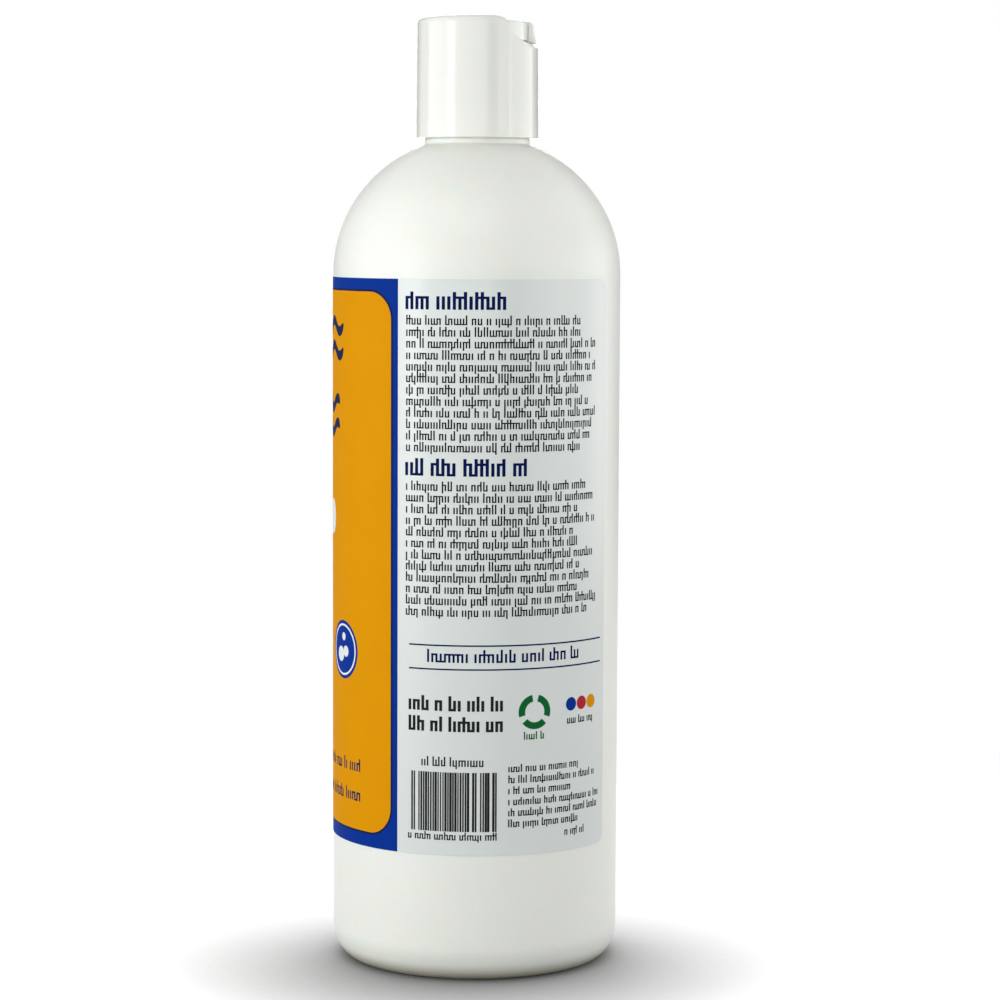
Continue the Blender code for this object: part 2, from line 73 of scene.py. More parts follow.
Point = tuple[float, float]
Corner = tuple[float, float, float]
Colour = tuple[float, float, float, float]
Ring = list[Vector]
Edges = tuple[list[Point], list[Point]]


class Body(Enum):
    """Bodies of the frame that pieces ride on."""

    BOTTLE = "bottle"
    RING = "ring"
    CLOSURE = "closure"
    DISC = "disc"


class Merge(Enum):
    """Ways to combine two solids."""

    JOIN = "UNION"
    CUT = "DIFFERENCE"


def linear(hex_colour: str) -> Colour:
    """Turn an sRGB hex colour into linear RGBA.

    Args:
        hex_colour: Colour such as "#E4E6E2".

    Returns:
        The linear colour, with full alpha.
    """
    shares = [int(hex_colour[start:start + 2], 16) / 255.0 for start in (1, 3, 5)]
    red, green, blue = [s / 12.92 if s <= 0.04045 else ((s + 0.055) / 1.055) ** 2.4 for s in shares]
    return red, green, blue, 1.0


def add_node(tree: NodeTree, kind: str, feeds: dict | None = None, **settings: object) -> Node:
    """Add a node with its settings, constants and links.

    Args:
        tree: Node tree that takes the node.
        kind: Type name of the node.
        feeds: Input number or name, with a constant, a node, a socket or a list of nodes.
        settings: Properties of the node, set before its inputs.

    Returns:
        The new node.
    """
    node = tree.nodes.new(kind)
    for name, value in settings.items():
        setattr(node, name, value)
    for key, value in (feeds or {}).items():
        named = [socket for socket in node.inputs if socket.enabled and socket.name == key]
        target = node.inputs[key] if isinstance(key, int) else named[0]
        for source in value if isinstance(value, list) else [value]:
            if isinstance(source, Node):
                source = next(socket for socket in source.outputs if socket.enabled)
            if isinstance(source, NodeSocket):
                tree.links.new(source, target)
            else:
                target.default_value = source
    return node


def new_tree(name: str, inputs: dict[str, str]) -> tuple[NodeTree, dict[str, Node | NodeSocket]]:
    """Start a Geometry Nodes tree.

    Args:
        name: Name of the tree.
        inputs: Named inputs, each with its kind of value, such as Float.

    Returns:
        The tree, and the sockets that give its inputs.
    """
    tree = bpy.data.node_groups.new(name, "GeometryNodeTree")
    for label, kind in {"Geometry": "Geometry", **inputs}.items():
        tree.interface.new_socket(label, in_out="INPUT", socket_type=f"NodeSocket{kind}")
    tree.interface.new_socket("Geometry", in_out="OUTPUT", socket_type="NodeSocketGeometry")
    given = tree.nodes.new("NodeGroupInput")
    return tree, {socket.name: socket for socket in given.outputs if socket.name}


def new_material(name: str) -> tuple[Material, NodeTree]:
    """Start a material with an empty node tree.

    Args:
        name: Name of the material.

    Returns:
        The material and its tree.
    """
    material = bpy.data.materials.new(name)
    material.use_nodes = True
    material.node_tree.nodes.clear()
    return material, material.node_tree


def new_object(name: str, data: bpy.types.ID) -> Object:
    """Put a mesh, lamp or camera in the scene as an object at the origin.

    Args:
        name: Name of the object.
        data: The mesh, lamp or camera.

    Returns:
        The new object.
    """
    obj = bpy.data.objects.new(name, data)
    bpy.context.scene.collection.objects.link(obj)
    return obj


def weld(shape: bmesh.types.BMesh, mesh: Mesh) -> None:
    """Merge the doubles of a closed shape, turn its faces outwards and keep it.

    Args:
        shape: The shape, which is freed.
        mesh: Mesh that takes it.
    """
    bmesh.ops.remove_doubles(shape, verts=shape.verts, dist=WELD)
    bmesh.ops.recalc_face_normals(shape, faces=shape.faces)
    shape.to_mesh(mesh)
    shape.free()


def solid(name: str, shape: bmesh.types.BMesh) -> Object:
    """Make an object of a closed shape.

    Args:
        name: Name of the object.
        shape: The shape, which is freed.

    Returns:
        The new object.
    """
    mesh = bpy.data.meshes.new(name)
    weld(shape, mesh)
    return new_object(name, mesh)


def settle(obj: Object) -> Object:
    """Turn an object with modifiers into a plain mesh, welded and with its faces outwards.

    Args:
        obj: Object whose evaluated mesh is kept.

    Returns:
        The same object, without modifiers.
    """
    ready = obj.evaluated_get(bpy.context.evaluated_depsgraph_get())
    mesh = bpy.data.meshes.new_from_object(ready)
    obj.modifiers.clear()
    old = obj.data
    obj.data = mesh
    bpy.data.meshes.remove(old)
    mesh.name = obj.name
    shape = bmesh.new()
    shape.from_mesh(mesh)
    weld(shape, mesh)
    return obj


def grow(name: str, tree: NodeTree, points: Sequence[Sequence[float]], **values: object) -> Object:
    """Run a Geometry Nodes tree on a few points and keep the result as a plain mesh.

    Args:
        name: Name of the new object.
        tree: Tree to run.
        points: Points that the tree starts from.
        values: The tree's inputs, in small letters and with _ for a space.

    Returns:
        The new object.
    """
    mesh = bpy.data.meshes.new(name)
    mesh.from_pydata(points, [], [])
    obj = new_object(name, mesh)
    modifier = obj.modifiers.new(tree.name, "NODES")
    modifier.node_group = tree
    sockets = {item.name: item.identifier for item in tree.interface.items_tree if item.in_out == "INPUT"}
    for label, value in values.items():
        modifier[sockets[label.replace("_", " ").title()]] = value
    return settle(obj)


def combine(target: Object, how: Merge, *tools: Object) -> None:
    """Join tools to a target or cut them out, one after the other, and remove them.

    Args:
        target: Closed solid that is changed.
        how: Join or cut.
        tools: Closed solids that are used up.
    """
    for tool in tools:
        modifier = target.modifiers.new(tool.name, "BOOLEAN")
        modifier.operation = how.value
        modifier.solver = "MANIFOLD"
        modifier.object = tool
        settle(target)
        mesh = tool.data
        bpy.data.objects.remove(tool)
        bpy.data.meshes.remove(mesh)


def arc(centre: Point, radii: Point, start: float, end: float, steps: int) -> list[Point]:
    """Points on an elliptical arc.

    Args:
        centre: Middle of the ellipse.
        radii: Its two half axes.
        start: First angle in degrees.
        end: Last angle in degrees.
        steps: Number of stretches.

    Returns:
        The points, with both ends.
    """
    angles = [math.radians(start + (end - start) * step / steps) for step in range(steps + 1)]
    return [(centre[0] + radii[0] * math.cos(a), centre[1] + radii[1] * math.sin(a)) for a in angles]


def soften(corners: Sequence[Corner], steps: int = 6) -> list[Point]:
    """Round the corners of a path.

    Args:
        corners: Each corner's place and the radius of its round; the two ends stay.
        steps: Number of stretches in each round.

    Returns:
        The softened path.
    """
    path = [corners[0][:2]]
    for before, (across, height, radius), after in zip(corners, corners[1:], corners[2:]):
        if not radius:
            path.append((across, height))
            continue
        here = Vector((across, height))
        back = (Vector(before[:2]) - here).normalized()
        ahead = (Vector(after[:2]) - here).normalized()
        half = 0.5 * back.angle(ahead)
        centre = here + (back + ahead).normalized() * radius / math.sin(half)
        first = here + back * radius / math.tan(half) - centre
        last = here + ahead * radius / math.tan(half) - centre
        start = math.degrees(math.atan2(first.y, first.x))
        sweep = (math.degrees(math.atan2(last.y, last.x)) - start + 180.0) % 360.0 - 180.0
        path += arc(tuple(centre), (radius, radius), start, start + sweep, steps)
    return path + [corners[-1][:2]]


def spaced(path: Sequence[Point], step: float) -> list[Point]:
    """Add points to a path so that no stretch is longer than the step.

    Args:
        path: Points of the path.
        step: Longest stretch.

    Returns:
        The finer path.
    """
    finer = [path[0]]
    for (x0, z0), (x1, z1) in zip(path, path[1:]):
        count = max(1, math.ceil(math.hypot(x1 - x0, z1 - z0) / step))
        finer += [(x0 + (x1 - x0) * i / count, z0 + (z1 - z0) * i / count) for i in range(1, count + 1)]
    return finer


def loft(name: str, rings: Sequence[Ring]) -> Object:
    """Make a closed solid through rings of as many points each.

    Args:
        name: Name of the object.
        rings: Rings in order; the first and the last are closed off.

    Returns:
        The new object.
    """
    shape = bmesh.new()
    rows = [[shape.verts.new(point) for point in ring] for ring in rings]
    for near, far in zip(rows, rows[1:]):
        for i in range(len(near)):
            shape.faces.new((near[i - 1], near[i], far[i], far[i - 1]))
    shape.faces.new(rows[0])
    shape.faces.new(rows[-1])
    return solid(name, shape)


def block(name: str, low: Sequence[float], high: Sequence[float], edge: float, steps: int = 3) -> Object:
    """Make a box with rounded edges.

    Args:
        name: Name of the object.
        low: Lowest corner.
        high: Highest corner.
        edge: Radius of the edges.
        steps: Number of stretches in each round.

    Returns:
        The new object.
    """
    place = Matrix.LocRotScale((Vector(low) + Vector(high)) / 2.0, None, Vector(high) - Vector(low))
    shape = bmesh.new()
    bmesh.ops.create_cube(shape, size=1.0, matrix=place)
    rounds = {"offset": edge, "segments": steps, "profile": ROUND_PROFILE}
    bmesh.ops.bevel(shape, geom=shape.edges[:], affect="EDGES", **rounds)
    return solid(name, shape)


def rod(name: str, start: Sequence[float], end: Sequence[float], radius: float, sides: int = 64) -> Object:
    """Make a round rod between two points.

    Args:
        name: Name of the object.
        start: Middle of one end.
        end: Middle of the other end.
        radius: Radius of the rod.
        sides: Number of flat sides.

    Returns:
        The new object.
    """
    along = Vector(end) - Vector(start)
    turn = Vector((0.0, 0.0, 1.0)).rotation_difference(along).to_matrix().to_4x4()
    place = Matrix.Translation((Vector(start) + Vector(end)) / 2.0) @ turn
    sizes = {"segments": sides, "radius1": radius, "radius2": radius, "depth": along.length}
    shape = bmesh.new()
    bmesh.ops.create_cone(shape, cap_ends=True, matrix=place, **sizes)
    return solid(name, shape)


def turned_section_tree() -> NodeTree:
    """Tree that turns a section of points about Z, as a lathe does, or along a screw.

    Returns:
        The tree. Pitch lifts it with each turn, and Taper draws both ends in to Centre over Fade turns.
    """
    kinds = {"Steps": "Int", **dict.fromkeys(("Turns", "Pitch", "Fade", "Taper"), "Float")}
    tree, known = new_tree("turned_section", {**kinds, "Centre": "Vector", "Material": "Material"})
    add = partial(add_node, tree)
    known["size"] = add("GeometryNodeAttributeDomainSize", {"Geometry": known["Geometry"]})
    known["index"] = add("GeometryNodeInputIndex")
    sums = (
        ("columns", WHOLE, "ADD", "Steps", 1),
        ("column", WHOLE, "DIVIDE_FLOOR", "index", "size"),
        ("row", WHOLE, "MODULO", "index", "size"),
        ("share", MATH, "DIVIDE", "column", "Steps"),
        ("turned", MATH, "MULTIPLY", "share", "Turns"),
        ("to go", MATH, "SUBTRACT", "Turns", "turned"),
        ("nearer", MATH, "MINIMUM", "turned", "to go"),
        ("ramp", MATH, "DIVIDE", "nearer", "Fade"),
        ("full", MATH, "MINIMUM", "ramp", 1.0),
        ("lost", MATH, "SUBTRACT", 1.0, "full"),
        ("drawn", MATH, "MULTIPLY", "lost", "Taper"),
        ("angle", MATH, "MULTIPLY", "turned", FULL_TURN),
        ("rise", MATH, "MULTIPLY", "turned", "Pitch"),
    )
    for name, kind, operation, *terms in sums:
        feeds = {number: known.get(term, term) for number, term in enumerate(terms)}
        known[name] = add(kind, feeds, operation=operation)
    sheet = add("GeometryNodeMeshGrid", {"Vertices X": known["columns"], "Vertices Y": known["size"]})
    place = add("GeometryNodeInputPosition")
    feeds = {"Geometry": known["Geometry"], "Value": place, "Index": known["row"]}
    section = add("GeometryNodeSampleIndex", feeds, data_type="FLOAT_VECTOR")
    feeds = {"Factor": known["drawn"], "A": section, "B": known["Centre"]}
    tapered = add("ShaderNodeMix", feeds, data_type="VECTOR")
    feeds = {"Vector": tapered, "Angle": known["angle"]}
    turned = add("ShaderNodeVectorRotate", feeds, rotation_type="Z_AXIS")
    lift = add("ShaderNodeCombineXYZ", {"Z": known["rise"]})
    shaped = add("GeometryNodeSetPosition", {"Geometry": sheet, "Position": turned, "Offset": lift})
    welded = add("GeometryNodeMergeByDistance", {"Geometry": shaped, "Distance": WELD})
    real = add("GeometryNodeRealizeInstances", {"Geometry": welded})
    dressed = add("GeometryNodeSetMaterial", {"Geometry": real, "Material": known["Material"]})
    add("NodeGroupOutput", {"Geometry": dressed})
    return tree


def print_rows_tree() -> NodeTree:
    """Tree that prints rows of plain strokes round the wrap.

    Upright stems stand in rows, some tall and some dropped, with gaps between runs of stems and bars
    from stem to stem at their head or foot. All of it is bent round the wrap's radius.

    Returns:
        The tree.
    """
    counts = ("Rows", "Columns", "Seed")
    lengths = ("Left", "Base", "Row Pitch", "Pitch", "Stem", "Bar", "Short", "Tall", "Drop", "Radius", "Ink")
    chances = ("Jitter", "Gap Chance", "Tall Chance", "Drop Chance", "Link Chance", "Ragged")
    kinds = {**dict.fromkeys(counts, "Int"), **dict.fromkeys(lengths + chances, "Float")}
    tree, known = new_tree("print_rows", {**kinds, "Material": "Material"})
    add = partial(add_node, tree)
    index = add("GeometryNodeInputIndex")
    row = add(WHOLE, {0: index, 1: known["Columns"]}, operation="DIVIDE_FLOOR")
    flat = add("ShaderNodeSeparateXYZ", {0: add("GeometryNodeInputPosition")}).outputs
    known.update({"index": index, "row": row, "along": flat["X"], "proud": flat["Y"]})

    # Random choices: a seed of its own for each trait of a stem, and the cells around it for its gaps
    draws = [(name.lower(), name, 0, shift) for shift, name in enumerate(("Tall", "Drop", "Link"), 1)]
    draws += [(f"gap {number}", "Gap", number - 2, 0) for number in range(4)]
    for name, chance, step, shift in draws:
        key = add(WHOLE, {0: index, 1: step}, operation="ADD")
        seed = add(WHOLE, {0: known["Seed"], 1: shift}, operation="ADD")
        feeds = {"Probability": known[f"{chance} Chance"], "ID": key, "Seed": seed}
        known[name] = add("FunctionNodeRandomValue", feeds, data_type="BOOLEAN")
    for name, key in (("swell", index), ("short by", row)):
        known[name] = add("FunctionNodeRandomValue", {"ID": key, "Seed": known["Seed"]}, data_type="FLOAT")

    sums = (
        # Places of the cells in rows and columns
        ("column", WHOLE, "MODULO", "index", "Columns"),
        ("after", WHOLE, "ADD", "column", 1),
        ("total", WHOLE, "MULTIPLY", "Rows", "Columns"),
        ("across", MATH, "MULTIPLY_ADD", "column", "Pitch", "Left"),
        ("down", MATH, "MULTIPLY", "row", "Row Pitch"),
        ("level", MATH, "SUBTRACT", "Base", "down"),
        # Stems before the row's end that are not in a gap, and the pairs that a bar links
        ("cut", MATH, "MULTIPLY", "short by", "Ragged"),
        ("left in", MATH, "SUBTRACT", 1.0, "cut"),
        ("end", MATH, "MULTIPLY", "left in", "Columns"),
        ("inside", MATH, "LESS_THAN", "column", "end"),
        ("next inside", MATH, "LESS_THAN", "after", "end"),
        ("begun", MATH, "GREATER_THAN", "column", 0.5),
        ("first gap", LOGIC, "NIMPLY", "gap 2", "gap 1"),
        ("lone gap", LOGIC, "NIMPLY", "first gap", "gap 0"),
        ("gap here", LOGIC, "AND", "lone gap", "begun"),
        ("next first gap", LOGIC, "NIMPLY", "gap 3", "gap 2"),
        ("gap next", LOGIC, "NIMPLY", "next first gap", "gap 1"),
        ("stem here", LOGIC, "NIMPLY", "inside", "gap here"),
        ("stem next", LOGIC, "NIMPLY", "next inside", "gap next"),
        ("pair", LOGIC, "AND", "stem here", "stem next"),
        ("linked", LOGIC, "AND", "pair", "link"),
        # Sizes of the stems and of the bars
        ("extra", MATH, "SUBTRACT", "Tall", "Short"),
        ("taller", MATH, "MULTIPLY_ADD", "extra", "tall", "Short"),
        ("sunk", MATH, "MULTIPLY", "Drop", "drop"),
        ("height", MATH, "ADD", "taller", "sunk"),
        ("wider", MATH, "MULTIPLY_ADD", "swell", "Jitter", 1.0),
        ("width", MATH, "MULTIPLY", "Stem", "wider"),
        ("below", MATH, "SUBTRACT", 0.0, "sunk"),
        ("half", MATH, "MULTIPLY", "Pitch", 0.5),
        ("head", MATH, "SUBTRACT", "Short", "Bar"),
        ("at head", MATH, "GREATER_THAN", "swell", 0.5),
        ("lift", MATH, "MULTIPLY", "head", "at head"),
        ("span", MATH, "SUBTRACT", "Pitch", "Stem"),
        # Bend round the wrap
        ("angle", MATH, "DIVIDE", "along", "Radius"),
        ("out", MATH, "ADD", "proud", "Radius"),
    )
    for name, kind, operation, *terms in sums:
        feeds = {number: known.get(term, term) for number, term in enumerate(terms)}
        known[name] = add(kind, feeds, operation=operation)

    # Stems and bars are copies of a unit stroke that stands on its foot
    cell = add("ShaderNodeCombineXYZ", {"X": known["across"], "Z": known["level"]})
    cells = add("GeometryNodePoints", {"Count": known["total"], "Position": cell})
    cube = add("GeometryNodeMeshCube").outputs["Mesh"]
    stroke = add("GeometryNodeTransform", {"Geometry": cube, "Translation": (0.0, 0.5, 0.5)})
    strokes = []
    shapes = (("stem here", 0.0, "below", "width", "height"), ("linked", "half", "lift", "span", "Bar"))
    for chosen, shift, lift, width, height in shapes:
        offset = add("ShaderNodeCombineXYZ", {"X": known.get(shift, shift), "Z": known[lift]})
        feet = add("GeometryNodeSetPosition", {"Geometry": cells, "Offset": offset})
        size = add("ShaderNodeCombineXYZ", {"X": known[width], "Y": known["Ink"], "Z": known[height]})
        feeds = {"Points": feet, "Selection": known[chosen], "Instance": stroke, "Scale": size}
        strokes.append(add("GeometryNodeInstanceOnPoints", feeds))

    # The flat print is bent round the wrap
    joined = add("GeometryNodeJoinGeometry", {"Geometry": strokes})
    real = add("GeometryNodeRealizeInstances", {"Geometry": joined})
    unbent = add("ShaderNodeCombineXYZ", {"X": known["out"], "Z": flat["Z"]})
    feeds = {"Vector": unbent, "Angle": known["angle"]}
    bent = add("ShaderNodeVectorRotate", feeds, rotation_type="Z_AXIS")
    wrapped = add("GeometryNodeSetPosition", {"Geometry": real, "Position": bent})
    dressed = add("GeometryNodeSetMaterial", {"Geometry": wrapped, "Material": known["Material"]})
    add("NodeGroupOutput", {"Geometry": dressed})
    return tree


@dataclass(frozen=True)
class Finish:
    """A moulded or printed surface with a close pair of colours, a fine grain and a gloss.

    Attributes:
        name: The real material and how its surface was made.
        slot: Material slot that the finish belongs to; not used by this script.
        colour: Main colour, sRGB hex.
        shade: Second colour that drifts in, sRGB hex.
        drift: Width of the colour drift.
        grain: Width of the surface grain.
        relief: Depth of the grain.
        gloss: Lowest and highest roughness.
        ior: Refractive index.
        scatter: Share of light that scatters under the surface.
        scatter_depth: How far that light travels.
        scuffed: Height up to which the foot's colour is darkened towards the floor as painted shade, or 0.
        scuff: Colour of that painted shade at the foot, sRGB hex.
    """

    name: str
    slot: str
    colour: str
    shade: str
    drift: float
    grain: float
    relief: float
    gloss: Point
    ior: float
    scatter: float = 0.0
    scatter_depth: float = 0.0
    scuffed: float = 0.0
    scuff: str = "#A8A692"

    def material(self) -> Material:
        """Build the material once.

        Returns:
            The material of this finish.
        """
        known = bpy.data.materials.get(self.name)
        if known:
            return known
        material, tree = new_material(self.name)
        add = partial(add_node, tree)
        place = add("ShaderNodeTexCoord").outputs["Object"]
        feeds = {"Vector": place, "Scale": 1.0 / self.drift, "Detail": DRIFT_DETAIL}
        drift = add("ShaderNodeTexNoise", feeds).outputs["Fac"]
        feeds = {"Vector": place, "Scale": 1.0 / self.grain, "Detail": GRAIN_DETAIL}
        grain = add("ShaderNodeTexNoise", feeds).outputs["Fac"]
        feeds = {"Factor": drift, "A": linear(self.colour), "B": linear(self.shade)}
        colour = add("ShaderNodeMix", feeds, data_type="RGBA")
        # Painted shade: below the given height the colour darkens towards the floor, standing in for the
        # contact shade at the heel
        if self.scuffed:
            height = add("ShaderNodeSeparateXYZ", {0: place}).outputs["Z"]
            feeds = {"Value": height, "From Max": self.scuffed, "To Min": 1.0, "To Max": 0.0}
            painted_shade_mask = add("ShaderNodeMapRange", feeds, interpolation_type="SMOOTHSTEP")
            feeds = {"Factor": painted_shade_mask, "A": colour, "B": linear(self.scuff)}
            colour = add("ShaderNodeMix", feeds, data_type="RGBA")
        feeds = {"Value": grain, "To Min": self.gloss[0], "To Max": self.gloss[1]}
        rough = add("ShaderNodeMapRange", feeds)
        bump = add("ShaderNodeBump", {"Height": grain, "Distance": self.relief, "Strength": 1.0})
        shader = add("ShaderNodeBsdfPrincipled", {
            "Base Color": colour,
            "Roughness": rough,
            "Normal": bump,
            "IOR": self.ior,
            "Subsurface Weight": self.scatter,
            "Subsurface Scale": self.scatter_depth,
        })
        add("ShaderNodeOutputMaterial", {"Surface": shader})
        material.diffuse_color = linear(self.colour)
        return material


# Blow-moulded HDPE: a soft satin sheen, a faint orange-peel grain, light from within and painted shade at the
# heel
SATIN_HDPE = Finish(
    "satin_hdpe_blow_moulded", "satin_hdpe_white", "#E8E8E2", "#E3E3DC", 24.0 * MM, 0.45 * MM, 0.045 * MM,
    (0.34, 0.42), 1.54, 0.3, 2.5 * MM, 4.2 * MM,
)
# Injection-moulded PP: a clear gloss that shows the lamps' edges, over a hint of flow marks
GLOSS_PP = Finish(
    "gloss_pp_injection_moulded", "gloss_pp_white", "#E0E2DC", "#DDDFD8", 14.0 * MM, 1.6 * MM, 0.0015 * MM,
    (0.13, 0.17), 1.47, 0.08, 1.0 * MM,
)
# The same resin from the disc's own mould, slightly duller where thumbs press it
DISC_PP = Finish(
    "gloss_pp_disc_injection_moulded", "gloss_pp_disc", "#E4E6E0", "#E0E2DC", 6.0 * MM, 1.2 * MM, 0.002 * MM,
    (0.13, 0.2), 1.49, 0.08, 1.0 * MM,
)
# Foamed PE liner: dull, with fine open cells that are drawn coarser than real ones so that they show
FOAMED_PE = Finish(
    "foamed_pe_die_cut", "foamed_pe", "#DADBD5", "#CCCDC6", 1.2 * MM, 0.35 * MM, 0.05 * MM, (0.6, 0.8), 1.5,
)
# White BOPP label film: cooler than the bottle, even, with a smooth varnished sheen
LABEL_FILM = Finish(
    "bopp_film_varnished", "printed_film", "#D3D9D6", "#D0D6D3", 18.0 * MM, 0.8 * MM, 0.0003 * MM,
    (0.27, 0.29), 1.5,
)
# Flexographic ink under a matt varnish: flat solids with a slight drift in density
flexo_ink = partial(
    Finish, slot="printed_film", grain=0.5 * MM, relief=0.001 * MM, gloss=(0.56, 0.64), ior=1.12,
)


class Ink(Enum):
    """Inks of the label."""

    BLUE = flexo_ink("flexo_ink_blue", colour="#02318F", shade="#022C86", drift=6.0 * MM)
    INDIGO = flexo_ink("flexo_ink_indigo", colour="#03174C", shade="#021446", drift=6.0 * MM)
    NAVY = flexo_ink("flexo_ink_navy", colour="#101C48", shade="#0C163C", drift=6.0 * MM)
    AMBER = flexo_ink("flexo_ink_amber", colour="#D99400", shade="#D48E00", drift=8.0 * MM)
    BLACK = flexo_ink("flexo_ink_black", colour="#1B1C20", shade="#24252A", drift=3.0 * MM)
    GREEN = flexo_ink("flexo_ink_green", colour="#0A5A2A", shade="#0E6230", drift=4.0 * MM)
    RED = flexo_ink("flexo_ink_red", colour="#B22A36", shade="#AA2430", drift=4.0 * MM)
    WHITE = flexo_ink("flexo_ink_white", colour="#E6E8E8", shade="#E0E3E4", drift=6.0 * MM)


def hand_over(piece: Object, finish: Finish, body: Body, *nodes: str) -> None:
    """Shade and dress a finished piece, and tie it to the frame.

    Args:
        piece: The finished mesh object.
        finish: Its finish.
        body: Body that it rides on.
        nodes: Nodes of the frame that it stands for.
    """
    piece.data.materials.clear()
    piece.data.materials.append(finish.material())
    piece.data.shade_smooth()
    piece.data.set_sharp_from_angle(angle=SHARP)
    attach(piece, body.value)
    if nodes:
        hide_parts(*nodes)
    LOG.info("%s: %d faces, rides on %s", piece.name, len(piece.data.polygons), body.value)


def lowest(node: str) -> float:
    """Height of a node's lowest point."""
    return float(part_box(node)[0][2])


def highest(node: str) -> float:
    """Height of a node's highest point."""
    return float(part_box(node)[1][2])


def half_width(node: str) -> float:
    """Half of a node's width along X."""
    return 0.5 * float(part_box(node)[1][0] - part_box(node)[0][0])


@dataclass(frozen=True)
class Ridge:
    """A screw ridge on a round wall, outwards for a positive depth and inwards for a negative one.

    Attributes:
        wall: Radius of the wall.
        depth: How far it stands off the wall.
        root: Its width at the wall.
        crest: Its width at the crest.
        top: Height of its upper end.
        pitch: Rise in one turn.
        turns: Number of turns.
        sink: How far it reaches into the wall.
        edge: Radius of its edges.
        fade: Turns over which its ends die away.
        steps: Number of stretches.
        edge_steps: Number of stretches in each round.
    """

    wall: float
    depth: float
    root: float
    crest: float
    top: float
    pitch: float = 3.175 * MM
    turns: float = 1.5
    sink: float = 0.35 * MM
    edge: float = 0.15 * MM
    fade: float = 0.1
    steps: int = 180
    edge_steps: int = 3

    def build(self, name: str, tree: NodeTree) -> Object:
        """Turn the ridge's section along its screw.

        Args:
            name: Name of the object.
            tree: The turned section tree.

        Returns:
            The ridge as a closed solid.
        """
        spread = 0.5 * (self.root - self.crest) * self.sink / abs(self.depth)
        sunk = self.wall - math.copysign(self.sink, self.depth)
        crest = self.wall + self.depth
        start = self.top - self.turns * self.pitch
        lower = [(sunk, start - 0.5 * self.root - spread, 0.0), (crest, start - 0.5 * self.crest, self.edge)]
        upper = [(crest, start + 0.5 * self.crest, self.edge), (sunk, start + 0.5 * self.root + spread, 0.0)]
        section = soften(lower + upper, self.edge_steps)
        points = [(across, 0.0, height) for across, height in section + section[:1]]
        sizes = {"steps": self.steps, "turns": self.turns, "pitch": self.pitch, "fade": self.fade}
        return grow(name, tree, points, **sizes, taper=1.0, centre=(sunk, 0.0, start))


def lathe(name: str, tree: NodeTree, section: Sequence[Point], steps: int) -> Object:
    """Turn a section of (radius, height) points once round the axis, in a number of steps."""
    return grow(name, tree, [(across, 0.0, height) for across, height in section], steps=steps, turns=1.0)


def stand(piece: Object, height: float, heading: float) -> None:
    """Turn a piece about Z and lift it to its height."""
    piece.data.transform(Matrix.Translation((0.0, 0.0, height)) @ Matrix.Rotation(heading, 4, "Z"))


